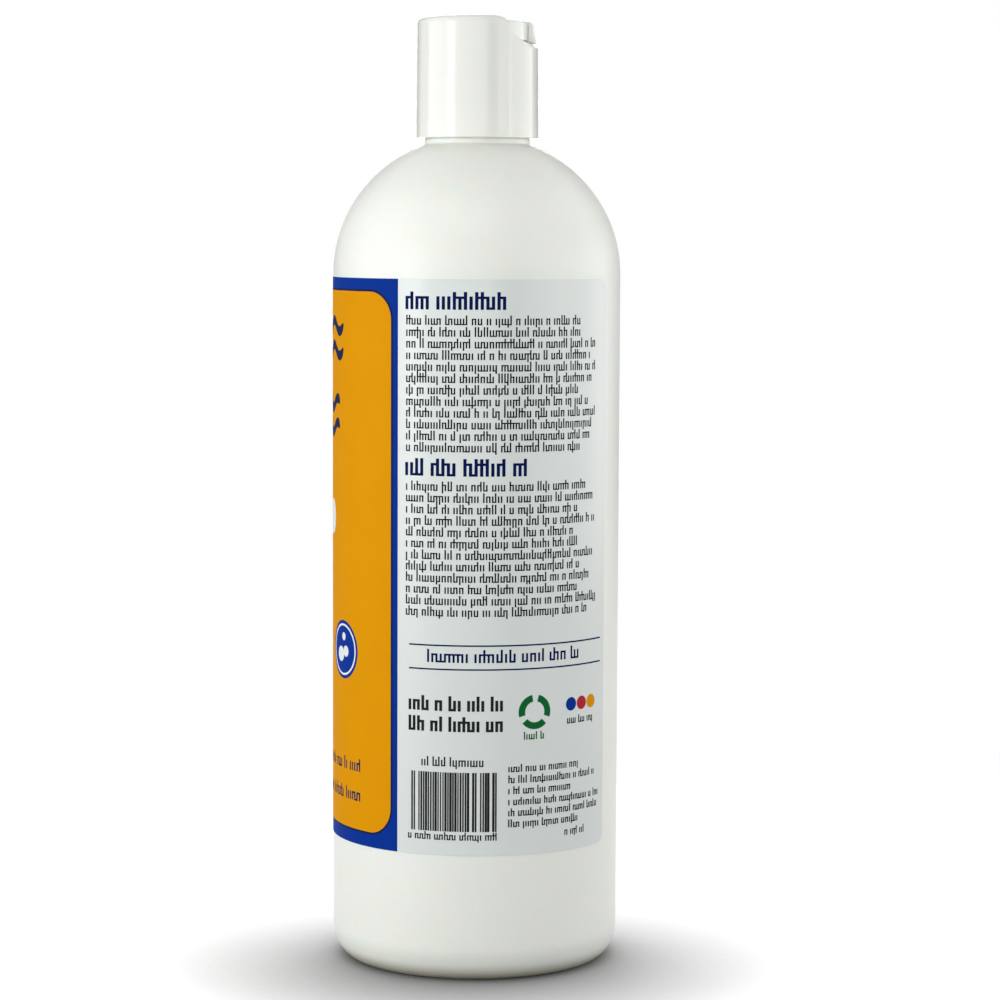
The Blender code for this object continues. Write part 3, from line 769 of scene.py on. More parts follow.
@dataclass
class Bottle:
    """The blow-moulded bottle: pushed-up base, straight wall, domed shoulder and threaded neck."""

    tree: NodeTree
    radius: float = half_width("bottle")
    lip: float = highest("bottle")
    neck_foot: float = lowest("cap_body") - 0.98 * MM
    wall: float = 0.95 * MM
    straight_top: float = 154.0 * MM
    shoulder_rise: float = 30.8 * MM
    heel_reach: float = 5.0 * MM
    heel_rise: float = 7.7 * MM
    stand_width: float = 3.6 * MM
    push_rise: float = 3.0 * MM
    push_run: float = 5.5 * MM
    pinch_reach: float = 15.0 * MM
    pinch_half: float = 0.4 * MM
    pinch_proud: float = 0.3 * MM
    pinch_edge: float = 0.2 * MM
    neck_radius: float = 10.75 * MM
    neck_wall: float = 1.55 * MM
    neck_fillet: float = 0.5 * MM
    bead_proud: float = 0.95 * MM
    bead_height: float = 1.6 * MM
    bead_edge: float = 0.4 * MM
    lip_edge: float = 0.35 * MM
    thread_depth: float = 1.1 * MM
    thread_root: float = 1.9 * MM
    thread_crest: float = 0.7 * MM
    thread_drop: float = 1.75 * MM
    touch_rounds: int = 30
    push_steps: int = 12
    heel_steps: int = 24
    shoulder_steps: int = 56
    fillet_steps: int = 6
    dome_steps: int = 40
    inner_heel_steps: int = 16
    steps: int = 256

    def shoulder_touch(self, bead: float) -> Point:
        """Find where the neck's fillet meets the shoulder.

        Args:
            bead: Radius of the bead above the fillet.

        Returns:
            The angle on the shoulder's ellipse and the slope there, in degrees.
        """
        slope = 0.0
        for _ in range(self.touch_rounds):
            angle = math.acos((bead + self.neck_fillet * (1.0 - math.sin(slope))) / self.radius)
            slope = math.atan2(self.shoulder_rise * math.cos(angle), self.radius * math.sin(angle))
        return math.degrees(angle), math.degrees(slope)

    def push_up(self, reach: float, level: float) -> list[Point]:
        """Path of the pushed-up base, from the axis out to the stand ring.

        Args:
            reach: Radius where the push-up meets the stand ring.
            level: Height of the stand ring.

        Returns:
            The path.
        """
        flat = reach - self.push_run
        waves = [step / self.push_steps for step in range(self.push_steps + 1)]
        half = 0.5 * self.push_rise
        ramp = [(flat + self.push_run * w, half * (1.0 + math.cos(math.pi * w))) for w in waves]
        return [(across, level + height) for across, height in [(0.0, self.push_rise)] + ramp]

    def section(self) -> list[Point]:
        """Half section: under the base, up the outside, over the lip and down the inside.

        Returns:
            The path of the section.
        """
        bead = self.neck_radius + self.bead_proud
        bore = self.neck_radius - self.neck_wall
        stand = self.radius - self.heel_reach
        touch, slope = self.shoulder_touch(bead)
        base = self.push_up(stand - self.stand_width, 0.0)
        heel = arc((stand, self.heel_rise), (self.heel_reach, self.heel_rise), -90.0, 0.0, self.heel_steps)
        shoulder_radii = (self.radius, self.shoulder_rise)
        shoulder = arc((0.0, self.straight_top), shoulder_radii, 0.0, touch, self.shoulder_steps)
        fillet_centre = (bead + self.neck_fillet, self.neck_foot)
        fillet_radii = (self.neck_fillet, self.neck_fillet)
        fillet = arc(fillet_centre, fillet_radii, 270.0 - slope, 180.0, self.fillet_steps)
        bead_top = self.neck_foot + self.bead_height
        neck = soften([
            (bead, self.neck_foot, 0.0),
            (bead, bead_top, self.bead_edge),
            (self.neck_radius, bead_top + self.bead_proud, self.bead_edge),
            (self.neck_radius, self.lip, self.lip_edge),
            (bore, self.lip, self.lip_edge),
            (bore, self.straight_top, 0.0),
        ])
        inner = self.radius - self.wall
        inner_touch = math.degrees(math.acos(bore / inner))
        dome = (inner, self.shoulder_rise - self.wall)
        inner_shoulder = arc((0.0, self.straight_top), dome, inner_touch, 0.0, self.dome_steps)
        inner_radii = (self.heel_reach - self.wall, self.heel_rise - self.wall)
        inner_heel = arc((stand, self.heel_rise), inner_radii, 0.0, -90.0, self.inner_heel_steps)
        floor = self.push_up(stand - self.stand_width, self.wall)
        return base + heel + shoulder + fillet[1:] + neck[1:-1] + inner_shoulder + inner_heel + floor[::-1]

    def build(self) -> None:
        """Turn the bottle, add its thread and the base's pinch line, and dress it."""
        shell = lathe("bottle_shell", self.tree, self.section(), self.steps)
        top = self.lip - self.thread_drop
        ridge = Ridge(self.neck_radius, self.thread_depth, self.thread_root, self.thread_crest, top)
        low = (-self.pinch_reach, -self.pinch_half, self.push_rise - self.pinch_proud)
        high = (self.pinch_reach, self.pinch_half, self.push_rise + self.pinch_half)
        pinch = block("pinch_line", low, high, self.pinch_edge)
        combine(shell, Merge.JOIN, ridge.build("neck_thread", self.tree), pinch)
        hand_over(shell, SATIN_HDPE, Body.BOTTLE, "bottle")


@dataclass
class SealingRing:
    """The die-cut foam ring between the lip and the closure's deck."""

    tree: NodeTree
    low: float = lowest("sealing_ring")
    high: float = highest("sealing_ring")
    radius: float = half_width("sealing_ring")
    hole: float = 8.0 * MM
    edge: float = 0.2 * MM
    steps: int = 128

    def build(self) -> None:
        """Turn the ring with soft edges and dress it."""
        middle = 0.5 * (self.low + self.high)
        section = soften([
            (self.radius, middle, 0.0),
            (self.radius, self.high, self.edge),
            (self.hole, self.high, self.edge),
            (self.hole, self.low, self.edge),
            (self.radius, self.low, self.edge),
            (self.radius, middle, 0.0),
        ])
        ring = lathe("sealing_ring_foam", self.tree, section, self.steps)
        hand_over(ring, FOAMED_PE, Body.RING, "sealing_ring")


@dataclass
class Closure:
    """The closure body: threaded skirt, deck with its post, and a rim with a round-edged window.

    Heights are measured from its lower edge, and its spout side is at local +X.
    """

    tree: NodeTree
    foot: float = lowest("cap_body")
    height: float = highest("cap_body") - lowest("cap_body")
    lip: float = highest("bottle")
    heading: float = math.radians(99.2)
    skirt_depth: float = 15.9 * MM
    deck: float = 1.3 * MM
    bore: float = 12.15 * MM
    bottom_radius: float = 13.58 * MM
    skirt_radius: float = 13.461 * MM
    rim_foot: float = 13.4465 * MM
    top_radius: float = 13.376 * MM
    well: float = 11.676 * MM
    well_fillet: float = 0.25 * MM
    rim_edge: float = 0.15 * MM
    rim_round: float = 1.38 * MM
    edge: float = 0.2 * MM
    column: float = 1.2 * MM
    pivot: float = 23.4 * MM
    boss: float = 4.75 * MM
    post: float = 4.6 * MM
    post_top: float = 20.05 * MM
    flow: float = 1.0 * MM
    ledge_inner: float = 9.826 * MM
    ledge_half: float = 3.5 * MM
    ledge_top: float = 18.93 * MM
    ledge_sink: float = 0.3 * MM
    socket_radius: float = 1.1 * MM
    socket_depth: float = 0.95 * MM
    window_depth: float = 5.9 * MM
    window_half: float = 11.246 * MM
    corner_run: float = 6.0 * MM
    corner_rise: float = 3.7 * MM
    flare_height: float = 2.4 * MM
    flare_width: float = 0.6 * MM
    window_edge: float = 0.35 * MM
    window_outer: float = 0.3 * MM
    window_inner: float = 2.0 * MM
    window_turn: float = 60.0
    window_steps: int = 6
    thread_depth: float = 1.05 * MM
    thread_root: float = 1.7 * MM
    thread_crest: float = 0.6 * MM
    thread_gap: float = 1.744 * MM
    round_steps: int = 10
    corner_steps: int = 20
    groove_sides: int = 96
    steps: int = 224

    def section(self) -> list[Point]:
        """Half section: across the well, over the rim, down the outside and up the bore.

        Returns:
            The path of the section.
        """
        deck_top = self.skirt_depth + self.deck
        path = soften([
            (0.0, deck_top, 0.0),
            (self.well, deck_top, self.well_fillet),
            (self.well, self.height, self.rim_edge),
            (self.top_radius, self.height, self.rim_round),
            (self.rim_foot, deck_top, 0.0),
            (self.skirt_radius, self.skirt_depth, 0.0),
            (self.bottom_radius, 0.0, self.edge),
            (self.bore, 0.0, self.edge),
            (self.bore, self.skirt_depth, self.edge),
            (0.0, self.skirt_depth, 0.0),
        ], self.round_steps)
        return spaced(path, self.column)

    def window_outline(self, spread: float) -> list[Point]:
        """Outline of the window in (across, height).

        Args:
            spread: How far the outline lies outside the window itself.

        Returns:
            The outline, open above the rim.
        """
        centre = (self.window_half - self.corner_run, self.height - self.window_depth + self.corner_rise)
        radii = (self.corner_run + spread, self.corner_rise + spread)
        slope = self.flare_width / self.flare_height
        half = self.window_half + spread
        over = half + slope * (self.flare_height + CUT_MARGIN)
        side = arc(centre, radii, -90.0, 0.0, self.corner_steps)
        side += [(half, self.height - self.flare_height), (over, self.height + CUT_MARGIN)]
        return side + [(-across, level) for across, level in reversed(side)]

    def window(self) -> Object:
        """Cutter of the window, flared at the outer wall so that the cut edge comes out round.

        Returns:
            The cutter.
        """
        edge = self.window_edge
        steps = self.window_steps
        angles = [math.radians(self.window_turn * left / steps) for left in range(steps, -1, -1)]
        layers = [(edge * (1.0 - math.sin(a)), edge * (1.0 - math.cos(a))) for a in angles]
        first_depth, first_spread = layers[0]
        flare = first_spread + math.tan(angles[0]) * (first_depth + self.window_outer)
        rings = [[Vector((self.bottom_radius + CUT_MARGIN, a, h)) for a, h in self.window_outline(flare)]]
        for depth, spread in [(-self.window_outer, flare)] + layers:
            reach = self.top_radius - depth
            outline = self.window_outline(spread)
            rings.append([Vector((math.sqrt(reach * reach - a * a), a, h)) for a, h in outline])
        rings.append([Vector((self.window_inner, a, h)) for a, h in self.window_outline(0.0)])
        return loft("window", rings)

    def build(self) -> None:
        """Turn the closure, add and cut its features, place it and dress it."""
        cap = lathe("closure_body", self.tree, self.section(), self.steps)
        deck_middle = self.skirt_depth + 0.5 * self.deck
        post = rod("deck_post", (0.0, 0.0, deck_middle), (0.0, 0.0, self.post_top), self.post)
        low = (-self.well - self.ledge_sink, -self.ledge_half, deck_middle)
        high = (-self.ledge_inner, self.ledge_half, self.ledge_top)
        combine(cap, Merge.JOIN, post, block("tilt_ledge", low, high, self.rim_edge))
        reach = self.post + CUT_MARGIN
        ends = ((0.0, -reach, self.pivot), (0.0, reach, self.pivot))
        groove = rod("post_groove", *ends, self.boss, self.groove_sides)
        low = (0.0, 0.0, self.skirt_depth - CUT_MARGIN)
        flow = rod("flow_bore", low, (0.0, 0.0, self.post_top + CUT_MARGIN), self.flow)
        combine(cap, Merge.CUT, groove, flow, self.window())
        for side in (-1.0, 1.0):
            start = (0.0, side * (self.well - CUT_MARGIN), self.pivot)
            end = (0.0, side * (self.well + self.socket_depth), self.pivot)
            combine(cap, Merge.CUT, rod("pin_socket", start, end, self.socket_radius))
        stand(cap, self.foot, self.heading)
        top = self.lip - Bottle.thread_drop - self.thread_gap
        ridge = Ridge(self.bore, -self.thread_depth, self.thread_root, self.thread_crest, top)
        combine(cap, Merge.JOIN, ridge.build("skirt_thread", self.tree))
        hand_over(cap, GLOSS_PP, Body.CLOSURE, "cap_body")


@dataclass
class Disc:
    """The tilting disc: dished plate, front apron, nozzle, sealing boss, ears and pins.

    Places are measured from its pivot, which runs along local Y, and its nozzle is at local +X.
    """

    tree: NodeTree
    pivot: float = lowest("cap_body") + Closure.pivot
    heading: float = Closure.heading
    radius: float = 11.33 * MM
    top: float = 2.37 * MM
    plate: float = 1.3 * MM
    plate_fillet: float = 0.3 * MM
    edge: float = 0.4 * MM
    column: float = 1.0 * MM
    apron_wall: float = 1.23 * MM
    apron_bottom: float = -1.9 * MM
    apron_start: float = 2.6 * MM
    apron_edge: float = 0.2 * MM
    rear_bottom: float = 0.67 * MM
    rear_edge: float = 0.1 * MM
    boss: float = 4.6 * MM
    boss_half: float = 3.0 * MM
    nozzle_half: float = 2.6 * MM
    nozzle_toe: float = 1.62 * MM
    nozzle_brow: float = 1.06 * MM
    nozzle_round: float = 1.2 * MM
    nozzle_drop: float = 0.05 * MM
    nozzle_bottom: float = -2.55 * MM
    nozzle_edge: float = 0.7 * MM
    groove_width: float = 0.3 * MM
    groove_depth: float = 0.35 * MM
    groove_drop: float = 0.9 * MM
    groove_edge: float = 0.05 * MM
    channel: float = 1.2 * MM
    channel_drop: float = 0.4 * MM
    channel_half: float = 2.2 * MM
    channel_floor: float = -2.05 * MM
    channel_back: float = 1.0 * MM
    channel_edge: float = 0.15 * MM
    flow: float = 1.0 * MM
    tilt: float = math.radians(26.0)
    ear_outer: float = 10.93 * MM
    ear_half: float = 1.9 * MM
    ear_wall: float = 1.3 * MM
    ear_drop: float = 1.7 * MM
    pin: float = 1.0 * MM
    pin_tip: float = 12.426 * MM
    dish_depth: float = 0.3 * MM
    dish_radius: float = 5.2 * MM
    dish_back: float = 4.6 * MM
    dish_over: float = 1.2
    dish_steps: int = 24
    dish_sides: int = 96
    round_steps: int = 8
    boss_steps: int = 72
    brow_steps: int = 14
    side_steps: int = 5
    steps: int = 192

    def section(self) -> list[Point]:
        """Half section of the plate and its apron, as a shallow cup that opens downwards.

        Returns:
            The path of the section.
        """
        plate_bottom = self.top - self.plate
        path = soften([
            (0.0, self.top, 0.0),
            (self.radius, self.top, self.edge),
            (self.radius, self.apron_bottom, self.apron_edge),
            (self.radius - self.apron_wall, self.apron_bottom, self.apron_edge),
            (self.radius - self.apron_wall, plate_bottom, self.plate_fillet),
            (0.0, plate_bottom, 0.0),
        ], self.round_steps)
        return spaced(path, self.column)

    def nozzle_ring(self, across: float, inset: float) -> Ring:
        """One slice of the nozzle: raked front with a round brow.

        Args:
            across: Place of the slice along the pivot.
            inset: How far the slice is drawn in.

        Returns:
            The points of the slice.
        """
        back = self.radius - 0.5 * self.apron_wall
        top = self.top - self.nozzle_drop - inset
        low = self.nozzle_bottom + inset
        centre = (self.radius + self.nozzle_brow - inset - self.nozzle_round, top - self.nozzle_round)
        path = [(back, low), (self.radius + self.nozzle_toe - inset, low)]
        path += arc(centre, (self.nozzle_round, self.nozzle_round), 0.0, 90.0, self.brow_steps)
        return [Vector((out, across, height)) for out, height in path + [(back, top)]]

    def nozzle(self) -> Object:
        """Nozzle with round side edges.

        Returns:
            The nozzle as a closed solid.
        """
        edge = self.nozzle_edge
        angles = [math.radians(90.0 * step / self.side_steps) for step in range(self.side_steps + 1)]
        slices = [(edge * (1.0 - math.sin(a)), edge * (1.0 - math.cos(a))) for a in angles]
        sides = [(self.nozzle_half - inset_y, inset) for inset, inset_y in slices]
        rings = [self.nozzle_ring(-across, inset) for across, inset in sides]
        rings += [self.nozzle_ring(across, inset) for across, inset in reversed(sides)]
        return loft("nozzle", rings)

    def thumb_dish(self) -> Object:
        """Cutter of the shallow dish where a thumb presses, behind the pivot.

        Returns:
            The cutter.
        """
        ball = 0.5 * (self.dish_radius * self.dish_radius / self.dish_depth + self.dish_depth)
        spread = math.degrees(math.asin(self.dish_radius / ball))
        centre = (0.0, self.top - self.dish_depth + ball)
        bowl = arc(centre, (ball, ball), -90.0, -90.0 + self.dish_over * spread, self.dish_steps)
        cutter = lathe("thumb_dish", self.tree, bowl + [(0.0, bowl[-1][1] + CUT_MARGIN)], self.dish_sides)
        cutter.data.transform(Matrix.Translation((-self.dish_back, 0.0, 0.0)))
        return cutter

    def build(self) -> None:
        """Turn the disc, add and cut its features, place it and dress it."""
        disc = lathe("disc_plate", self.tree, self.section(), self.steps)
        reach = self.radius + CUT_MARGIN
        low = (-reach, -reach, self.apron_bottom - CUT_MARGIN)
        high = (self.apron_start, reach, self.rear_bottom)
        combine(disc, Merge.CUT, block("rear_relief", low, high, self.rear_edge))
        middle = self.top - 0.5 * self.plate
        lean = math.degrees(math.asin(middle / self.boss))
        outline = arc((0.0, 0.0), (self.boss, self.boss), -180.0 - lean, lean, self.boss_steps)
        ends = (-self.boss_half, self.boss_half)
        boss = loft("sealing_boss", [[Vector((a, y, h)) for a, h in outline] for y in ends])
        low = (0.0, -self.channel_half, self.channel_floor)
        high = (self.radius - 0.5 * self.apron_wall, self.channel_half, middle)
        combine(disc, Merge.JOIN, boss, block("channel_body", low, high, self.channel_edge), self.nozzle())
        groove_out = math.sqrt(self.radius * self.radius - self.nozzle_half * self.nozzle_half)
        for side in (-1.0, 1.0):
            walls = (side * (self.nozzle_half - self.groove_depth), side * (self.nozzle_half + CUT_MARGIN))
            low = (groove_out, min(walls), self.nozzle_bottom - CUT_MARGIN)
            high = (groove_out + self.groove_width, max(walls), self.top - self.groove_drop)
            combine(disc, Merge.CUT, block("root_groove", low, high, self.groove_edge))
            walls = (side * (self.ear_outer - self.ear_wall), side * self.ear_outer)
            low = (-self.ear_half, min(walls), -self.ear_drop)
            ear = block("ear", low, (self.ear_half, max(walls), middle), self.apron_edge)
            root = (0.0, side * (self.ear_outer - 0.5 * self.ear_wall), 0.0)
            combine(disc, Merge.JOIN, ear, rod("pin", root, (0.0, side * self.pin_tip, 0.0), self.pin))
        start = (-self.channel_back, 0.0, -self.channel_drop)
        bore = rod("spout_bore", start, (reach + self.nozzle_toe, 0.0, -self.channel_drop), self.channel)
        down = Vector((-math.sin(self.tilt), 0.0, -math.cos(self.tilt)))
        inlet = rod("flow_inlet", down * self.channel_drop, down * (self.boss + CUT_MARGIN), self.flow)
        combine(disc, Merge.CUT, bore, inlet, self.thumb_dish())
        stand(disc, self.pivot, self.heading)
        hand_over(disc, DISC_PP, Body.DISC, "disc")


@dataclass(frozen=True)
class Stroke:
    """Sizes and chances of the strokes in one kind of printed row.

    Attributes:
        pitch: Distance from stem to stem.
        stem: Width of a stem.
        bar: Height of a bar between stems.
        short: Height of a plain stem.
        tall: Height of a tall stem.
        drop: How far a dropped stem hangs below the row.
        gap_chance: Chance of a gap.
        tall_chance: Chance of a tall stem.
        drop_chance: Chance of a dropped stem.
        link_chance: Chance of a bar to the next stem.
        jitter: How much wider a stem may be, as a share of its width.
    """

    pitch: float
    stem: float
    bar: float
    short: float
    tall: float
    drop: float = 0.0
    gap_chance: float = 0.2
    tall_chance: float = 0.22
    drop_chance: float = 0.06
    link_chance: float = 0.62
    jitter: float = 0.0


class Print(Enum):
    """Kinds of printed row."""

    BODY = Stroke(0.64 * MM, 0.34 * MM, 0.28 * MM, 1.42 * MM, 2.1 * MM, 0.5 * MM)
    HEADING = Stroke(1.2 * MM, 0.72 * MM, 0.55 * MM, 2.85 * MM, 3.8 * MM, gap_chance=0.18, tall_chance=0.3)
    BOLD = Stroke(1.02 * MM, 0.66 * MM, 0.54 * MM, 2.35 * MM, 3.3 * MM, tall_chance=0.3)
    SLOGAN = Stroke(0.95 * MM, 0.48 * MM, 0.42 * MM, 1.95 * MM, 2.85 * MM)
    SMALL = Stroke(0.56 * MM, 0.31 * MM, 0.26 * MM, 1.2 * MM, 1.75 * MM, 0.4 * MM)
    BARS = Stroke(0.55 * MM, 0.27 * MM, 0.2 * MM, 13.0 * MM, 13.0 * MM, link_chance=0.0, jitter=1.1)


class Layer(Enum):
    """Order of the film and its print, outwards."""

    FILM = 0
    FIRST = 1
    KEYLINE = 2
    PANEL = 3
    MOTIF = 4
    DETAIL = 5


@dataclass(frozen=True)
class Rows:
    """A printed block of stroke rows.

    Attributes:
        name: Name of the piece, after label_.
        ink: Its ink.
        kind: Kind of row.
        left: Left side in degrees.
        right: Right side in degrees.
        base: Height of the foot of the first row.
        seed: Seed of the block's random choices.
        count: Number of rows.
        pitch: Distance from row to row.
        ragged: Longest share of a row that may be missing at its end.
        layer: Order on the film.
    """

    name: str
    ink: Ink
    kind: Print
    left: float
    right: float
    base: float
    seed: int
    count: int = 1
    pitch: float = 0.0
    ragged: float = 0.0
    layer: Layer = Layer.FIRST


@dataclass
class Label:
    """The wrap film and its print: white side panels and an amber front panel on a blue ground.

    Places on the wrap are an angle in degrees, counted from +X, and a height.
    """

    tree: NodeTree
    low: float = lowest("label")
    high: float = highest("label")
    film_inner: float = half_width("bottle") + 0.05 * MM
    film: float = 0.04 * MM
    ink: float = 0.015 * MM
    right_end: float = 70.75
    left_end: float = -250.75
    corner: float = 2.5 * MM
    front_left: float = -157.4
    front_right: float = -22.6
    front_middle: float = -90.0
    panel_side: float = 1.8 * MM
    panel_foot: float = 3.3 * MM
    panel_head: float = 2.9 * MM
    panel_corner: float = 6.0 * MM
    keyline: float = 0.45 * MM
    wave_width: float = 2.2 * MM
    wave_swing: float = 1.2 * MM
    wave_length: float = 9.5 * MM
    wave_tip: float = 0.02 * MM
    badge_angle: float = -56.0
    badge_height: float = 71.0 * MM
    badge_radius: float = 6.5 * MM
    badge_ring: Point = (5.3 * MM, 5.75 * MM)
    bubble_wall: float = 0.5 * MM
    text_left: float = -18.6
    text_right: float = 65.0
    text_rows: int = 12
    text_ragged: float = 0.16
    closing_left: float = -9.4
    closing_right: float = 56.3
    closing_base: float = 70.6 * MM
    rule_left: float = -17.45
    rule_right: float = 67.8
    rule_half: float = 0.17 * MM
    arcs: int = 3
    arcs_angle: float = 32.9
    arcs_height: float = 59.6 * MM
    arcs_radii: Point = (2.3 * MM, 3.8 * MM)
    arcs_start: float = 100.0
    arcs_sweep: float = 96.0
    dots_angle: float = 49.8
    dots_step: float = 5.7
    dots_height: float = 60.6 * MM
    dots_radius: float = 1.5 * MM
    corner_steps: int = 14
    hoop_step: float = 7.5
    hoop_least: int = 6
    wave_fine: float = 0.25
    column: float = 0.8 * MM

    @property
    def wrap(self) -> float:
        """Radius of the film's outer face."""
        return self.film_inner + self.film

    def along(self, angle: float) -> float:
        """Distance round the wrap at an angle in degrees."""
        return math.radians(angle) * self.wrap

    def bend(self, point: Point, radius: float) -> Vector:
        """Point of the flat print, bent round the axis at a radius."""
        angle = point[0] / self.wrap
        return Vector((radius * math.cos(angle), radius * math.sin(angle), point[1]))

    def sheet(self, name: str, edges: Edges, layer: Layer) -> Object:
        """Build a thin patch of film or ink, bent round the wrap.

        Args:
            name: Name of the piece, after label_.
            edges: Lower and upper edge, with as many (along, height) points each.
            layer: Order on the film.

        Returns:
            The patch as a closed solid.
        """
        outer = self.wrap + layer.value * self.ink
        inner = self.film_inner if layer is Layer.FILM else outer - self.ink
        rings = []
        for near, far in zip(*edges):
            corners = ((near, inner), (near, outer), (far, outer), (far, inner))
            rings.append([self.bend(point, radius) for point, radius in corners])
        return loft(f"label_{name}", rings)

    def strip(self, name: str, ink: Ink, edges: Edges, layer: Layer = Layer.FIRST) -> None:
        """Print a patch of ink on the film."""
        hand_over(self.sheet(name, edges, layer), ink.value, Body.BOTTLE)

    def patch(self, left: float, right: float, low: float, high: float, rounds: Point = (0.0, 0.0)) -> Edges:
        """Edges of a rectangle with elliptical corners.

        Args:
            left: Distance round the wrap of its left side.
            right: Distance round the wrap of its right side.
            low: Height of its lower side.
            high: Height of its upper side.
            rounds: Half axes of its corners, along and up.

        Returns:
            The lower and the upper edge.
        """
        run, rise = rounds
        steps = self.corner_steps if run else 1
        corner = [math.radians(90.0 * step / steps) for step in range(steps + 1)]
        bends = [(run * (1.0 - math.cos(a)), rise * (1.0 - math.sin(a))) for a in corner]
        count = max(1, math.ceil((right - left - 2.0 * run) / self.column))
        middle = [left + run + (right - left - 2.0 * run) * i / count for i in range(1, count)]
        columns = [(left + x, z) for x, z in bends] + [(x, 0.0) for x in middle]
        columns += [(right - x, z) for x, z in reversed(bends)]
        return [(x, low + z) for x, z in columns], [(x, high - z) for x, z in columns]

    def spot(self, angle: float, height: float, half_along: float, half_up: float) -> Edges:
        """Edges of an ellipse, from its middle and its two half axes."""
        x = self.along(angle)
        return self.patch(
            x - half_along, x + half_along, height - half_up, height + half_up, (half_along, half_up),
        )

    def hoop(self, angle: float, height: float, radii: Point, start: float, end: float) -> Edges:
        """Edges of a stretch of a ring.

        Args:
            angle: Place of its middle round the wrap, in degrees.
            height: Height of its middle.
            radii: Inner and outer radius.
            start: First angle of the stretch in degrees.
            end: Last angle of the stretch in degrees.

        Returns:
            The inner and the outer edge.
        """
        centre = (self.along(angle), height)
        steps = max(self.hoop_least, round(abs(end - start) / self.hoop_step))
        inner, outer = [arc(centre, (radius, radius), start, end, steps) for radius in radii]
        return inner, outer

    def ring(self, name: str, angle: float, height: float, radii: Point, layer: Layer) -> None:
        """Print a white ring in two halves.

        Args:
            name: Name of the piece, after label_, with {} for the half.
            angle: Place of its middle round the wrap, in degrees.
            height: Height of its middle.
            radii: Inner and outer radius.
            layer: Order on the film.
        """
        for half, start in (("upper", 0.0), ("lower", 180.0)):
            edges = self.hoop(angle, height, radii, start, start + 180.0)
            self.strip(name.format(half), Ink.WHITE, edges, layer)

    def wave(self, sides: Point, height: float) -> Edges:
        """Edges of a wavy line with round ends.

        Args:
            sides: Left and right end in degrees.
            height: Height of the middle of the line.

        Returns:
            The lower and the upper edge.
        """
        left, right = [self.along(side) for side in sides]
        half = 0.5 * self.wave_width
        count = math.ceil((right - left) / (self.wave_fine * self.column))
        lower, upper = [], []
        for step in range(count + 1):
            along = left + (right - left) * step / count
            to_end = min(along - left, right - along, half)
            thick = max(math.sqrt(to_end * (2.0 * half - to_end)), self.wave_tip)
            level = height + self.wave_swing * math.sin(FULL_TURN * (along - left) / self.wave_length)
            lower.append((along, level - thick))
            upper.append((along, level + thick))
        return lower, upper

    def rows(self, lines: Rows) -> None:
        """Print a block of stroke rows.

        Args:
            lines: The block.
        """
        left, right = self.along(lines.left), self.along(lines.right)
        values = {
            **asdict(lines.kind.value),
            "rows": lines.count,
            "columns": max(2, round((right - left) / lines.kind.value.pitch)),
            "row_pitch": lines.pitch,
            "left": left,
            "base": lines.base,
            "ragged": lines.ragged,
            "seed": lines.seed,
            "radius": self.wrap + (lines.layer.value - 1) * self.ink,
            "ink": self.ink,
            "material": lines.ink.value.material(),
        }
        print_of_rows = grow(f"label_{lines.name}", self.tree, [(0.0, 0.0, 0.0)], **values)
        hand_over(print_of_rows, lines.ink.value, Body.BOTTLE)

    def side_panel(self, side: str, shift: float, seed: int) -> None:
        """Print the heads, text blocks, rules and closing row of a white side panel.

        Args:
            side: Side of the front that the panel lies on, for the names.
            shift: Degrees from the right panel to this one.
            seed: First seed of the panel's random choices.
        """
        left, right = shift + self.text_left, shift + self.text_right
        indigo, black = Ink.INDIGO, Ink.BLACK
        blocks = (("upper", 22.0, 146.8, 0, 143.5, 2.48, 10), ("lower", 31.2, 111.0, 44, 107.8, 2.47, 30))
        for name, end, head, head_seed, base, pitch, body_seed in blocks:
            name = f"{side}_{name}"
            title = (left, shift + end, head * MM, seed + head_seed)
            self.rows(Rows(f"{name}_head", indigo, Print.HEADING, *title))
            body = (left, right, base * MM, seed + body_seed, self.text_rows, pitch * MM, self.text_ragged)
            self.rows(Rows(f"{name}_rows", black, Print.BODY, *body))
        closing = (shift + self.closing_left, shift + self.closing_right, self.closing_base, seed + 40)
        self.rows(Rows(f"{side}_closing_row", indigo, Print.SLOGAN, *closing))
        left, right = self.along(shift + self.rule_left), self.along(shift + self.rule_right)
        for name, height in (("upper", 74.3 * MM), ("lower", 69.1 * MM)):
            edges = self.patch(left, right, height - self.rule_half, height + self.rule_half)
            self.strip(f"{side}_{name}_rule", indigo, edges)

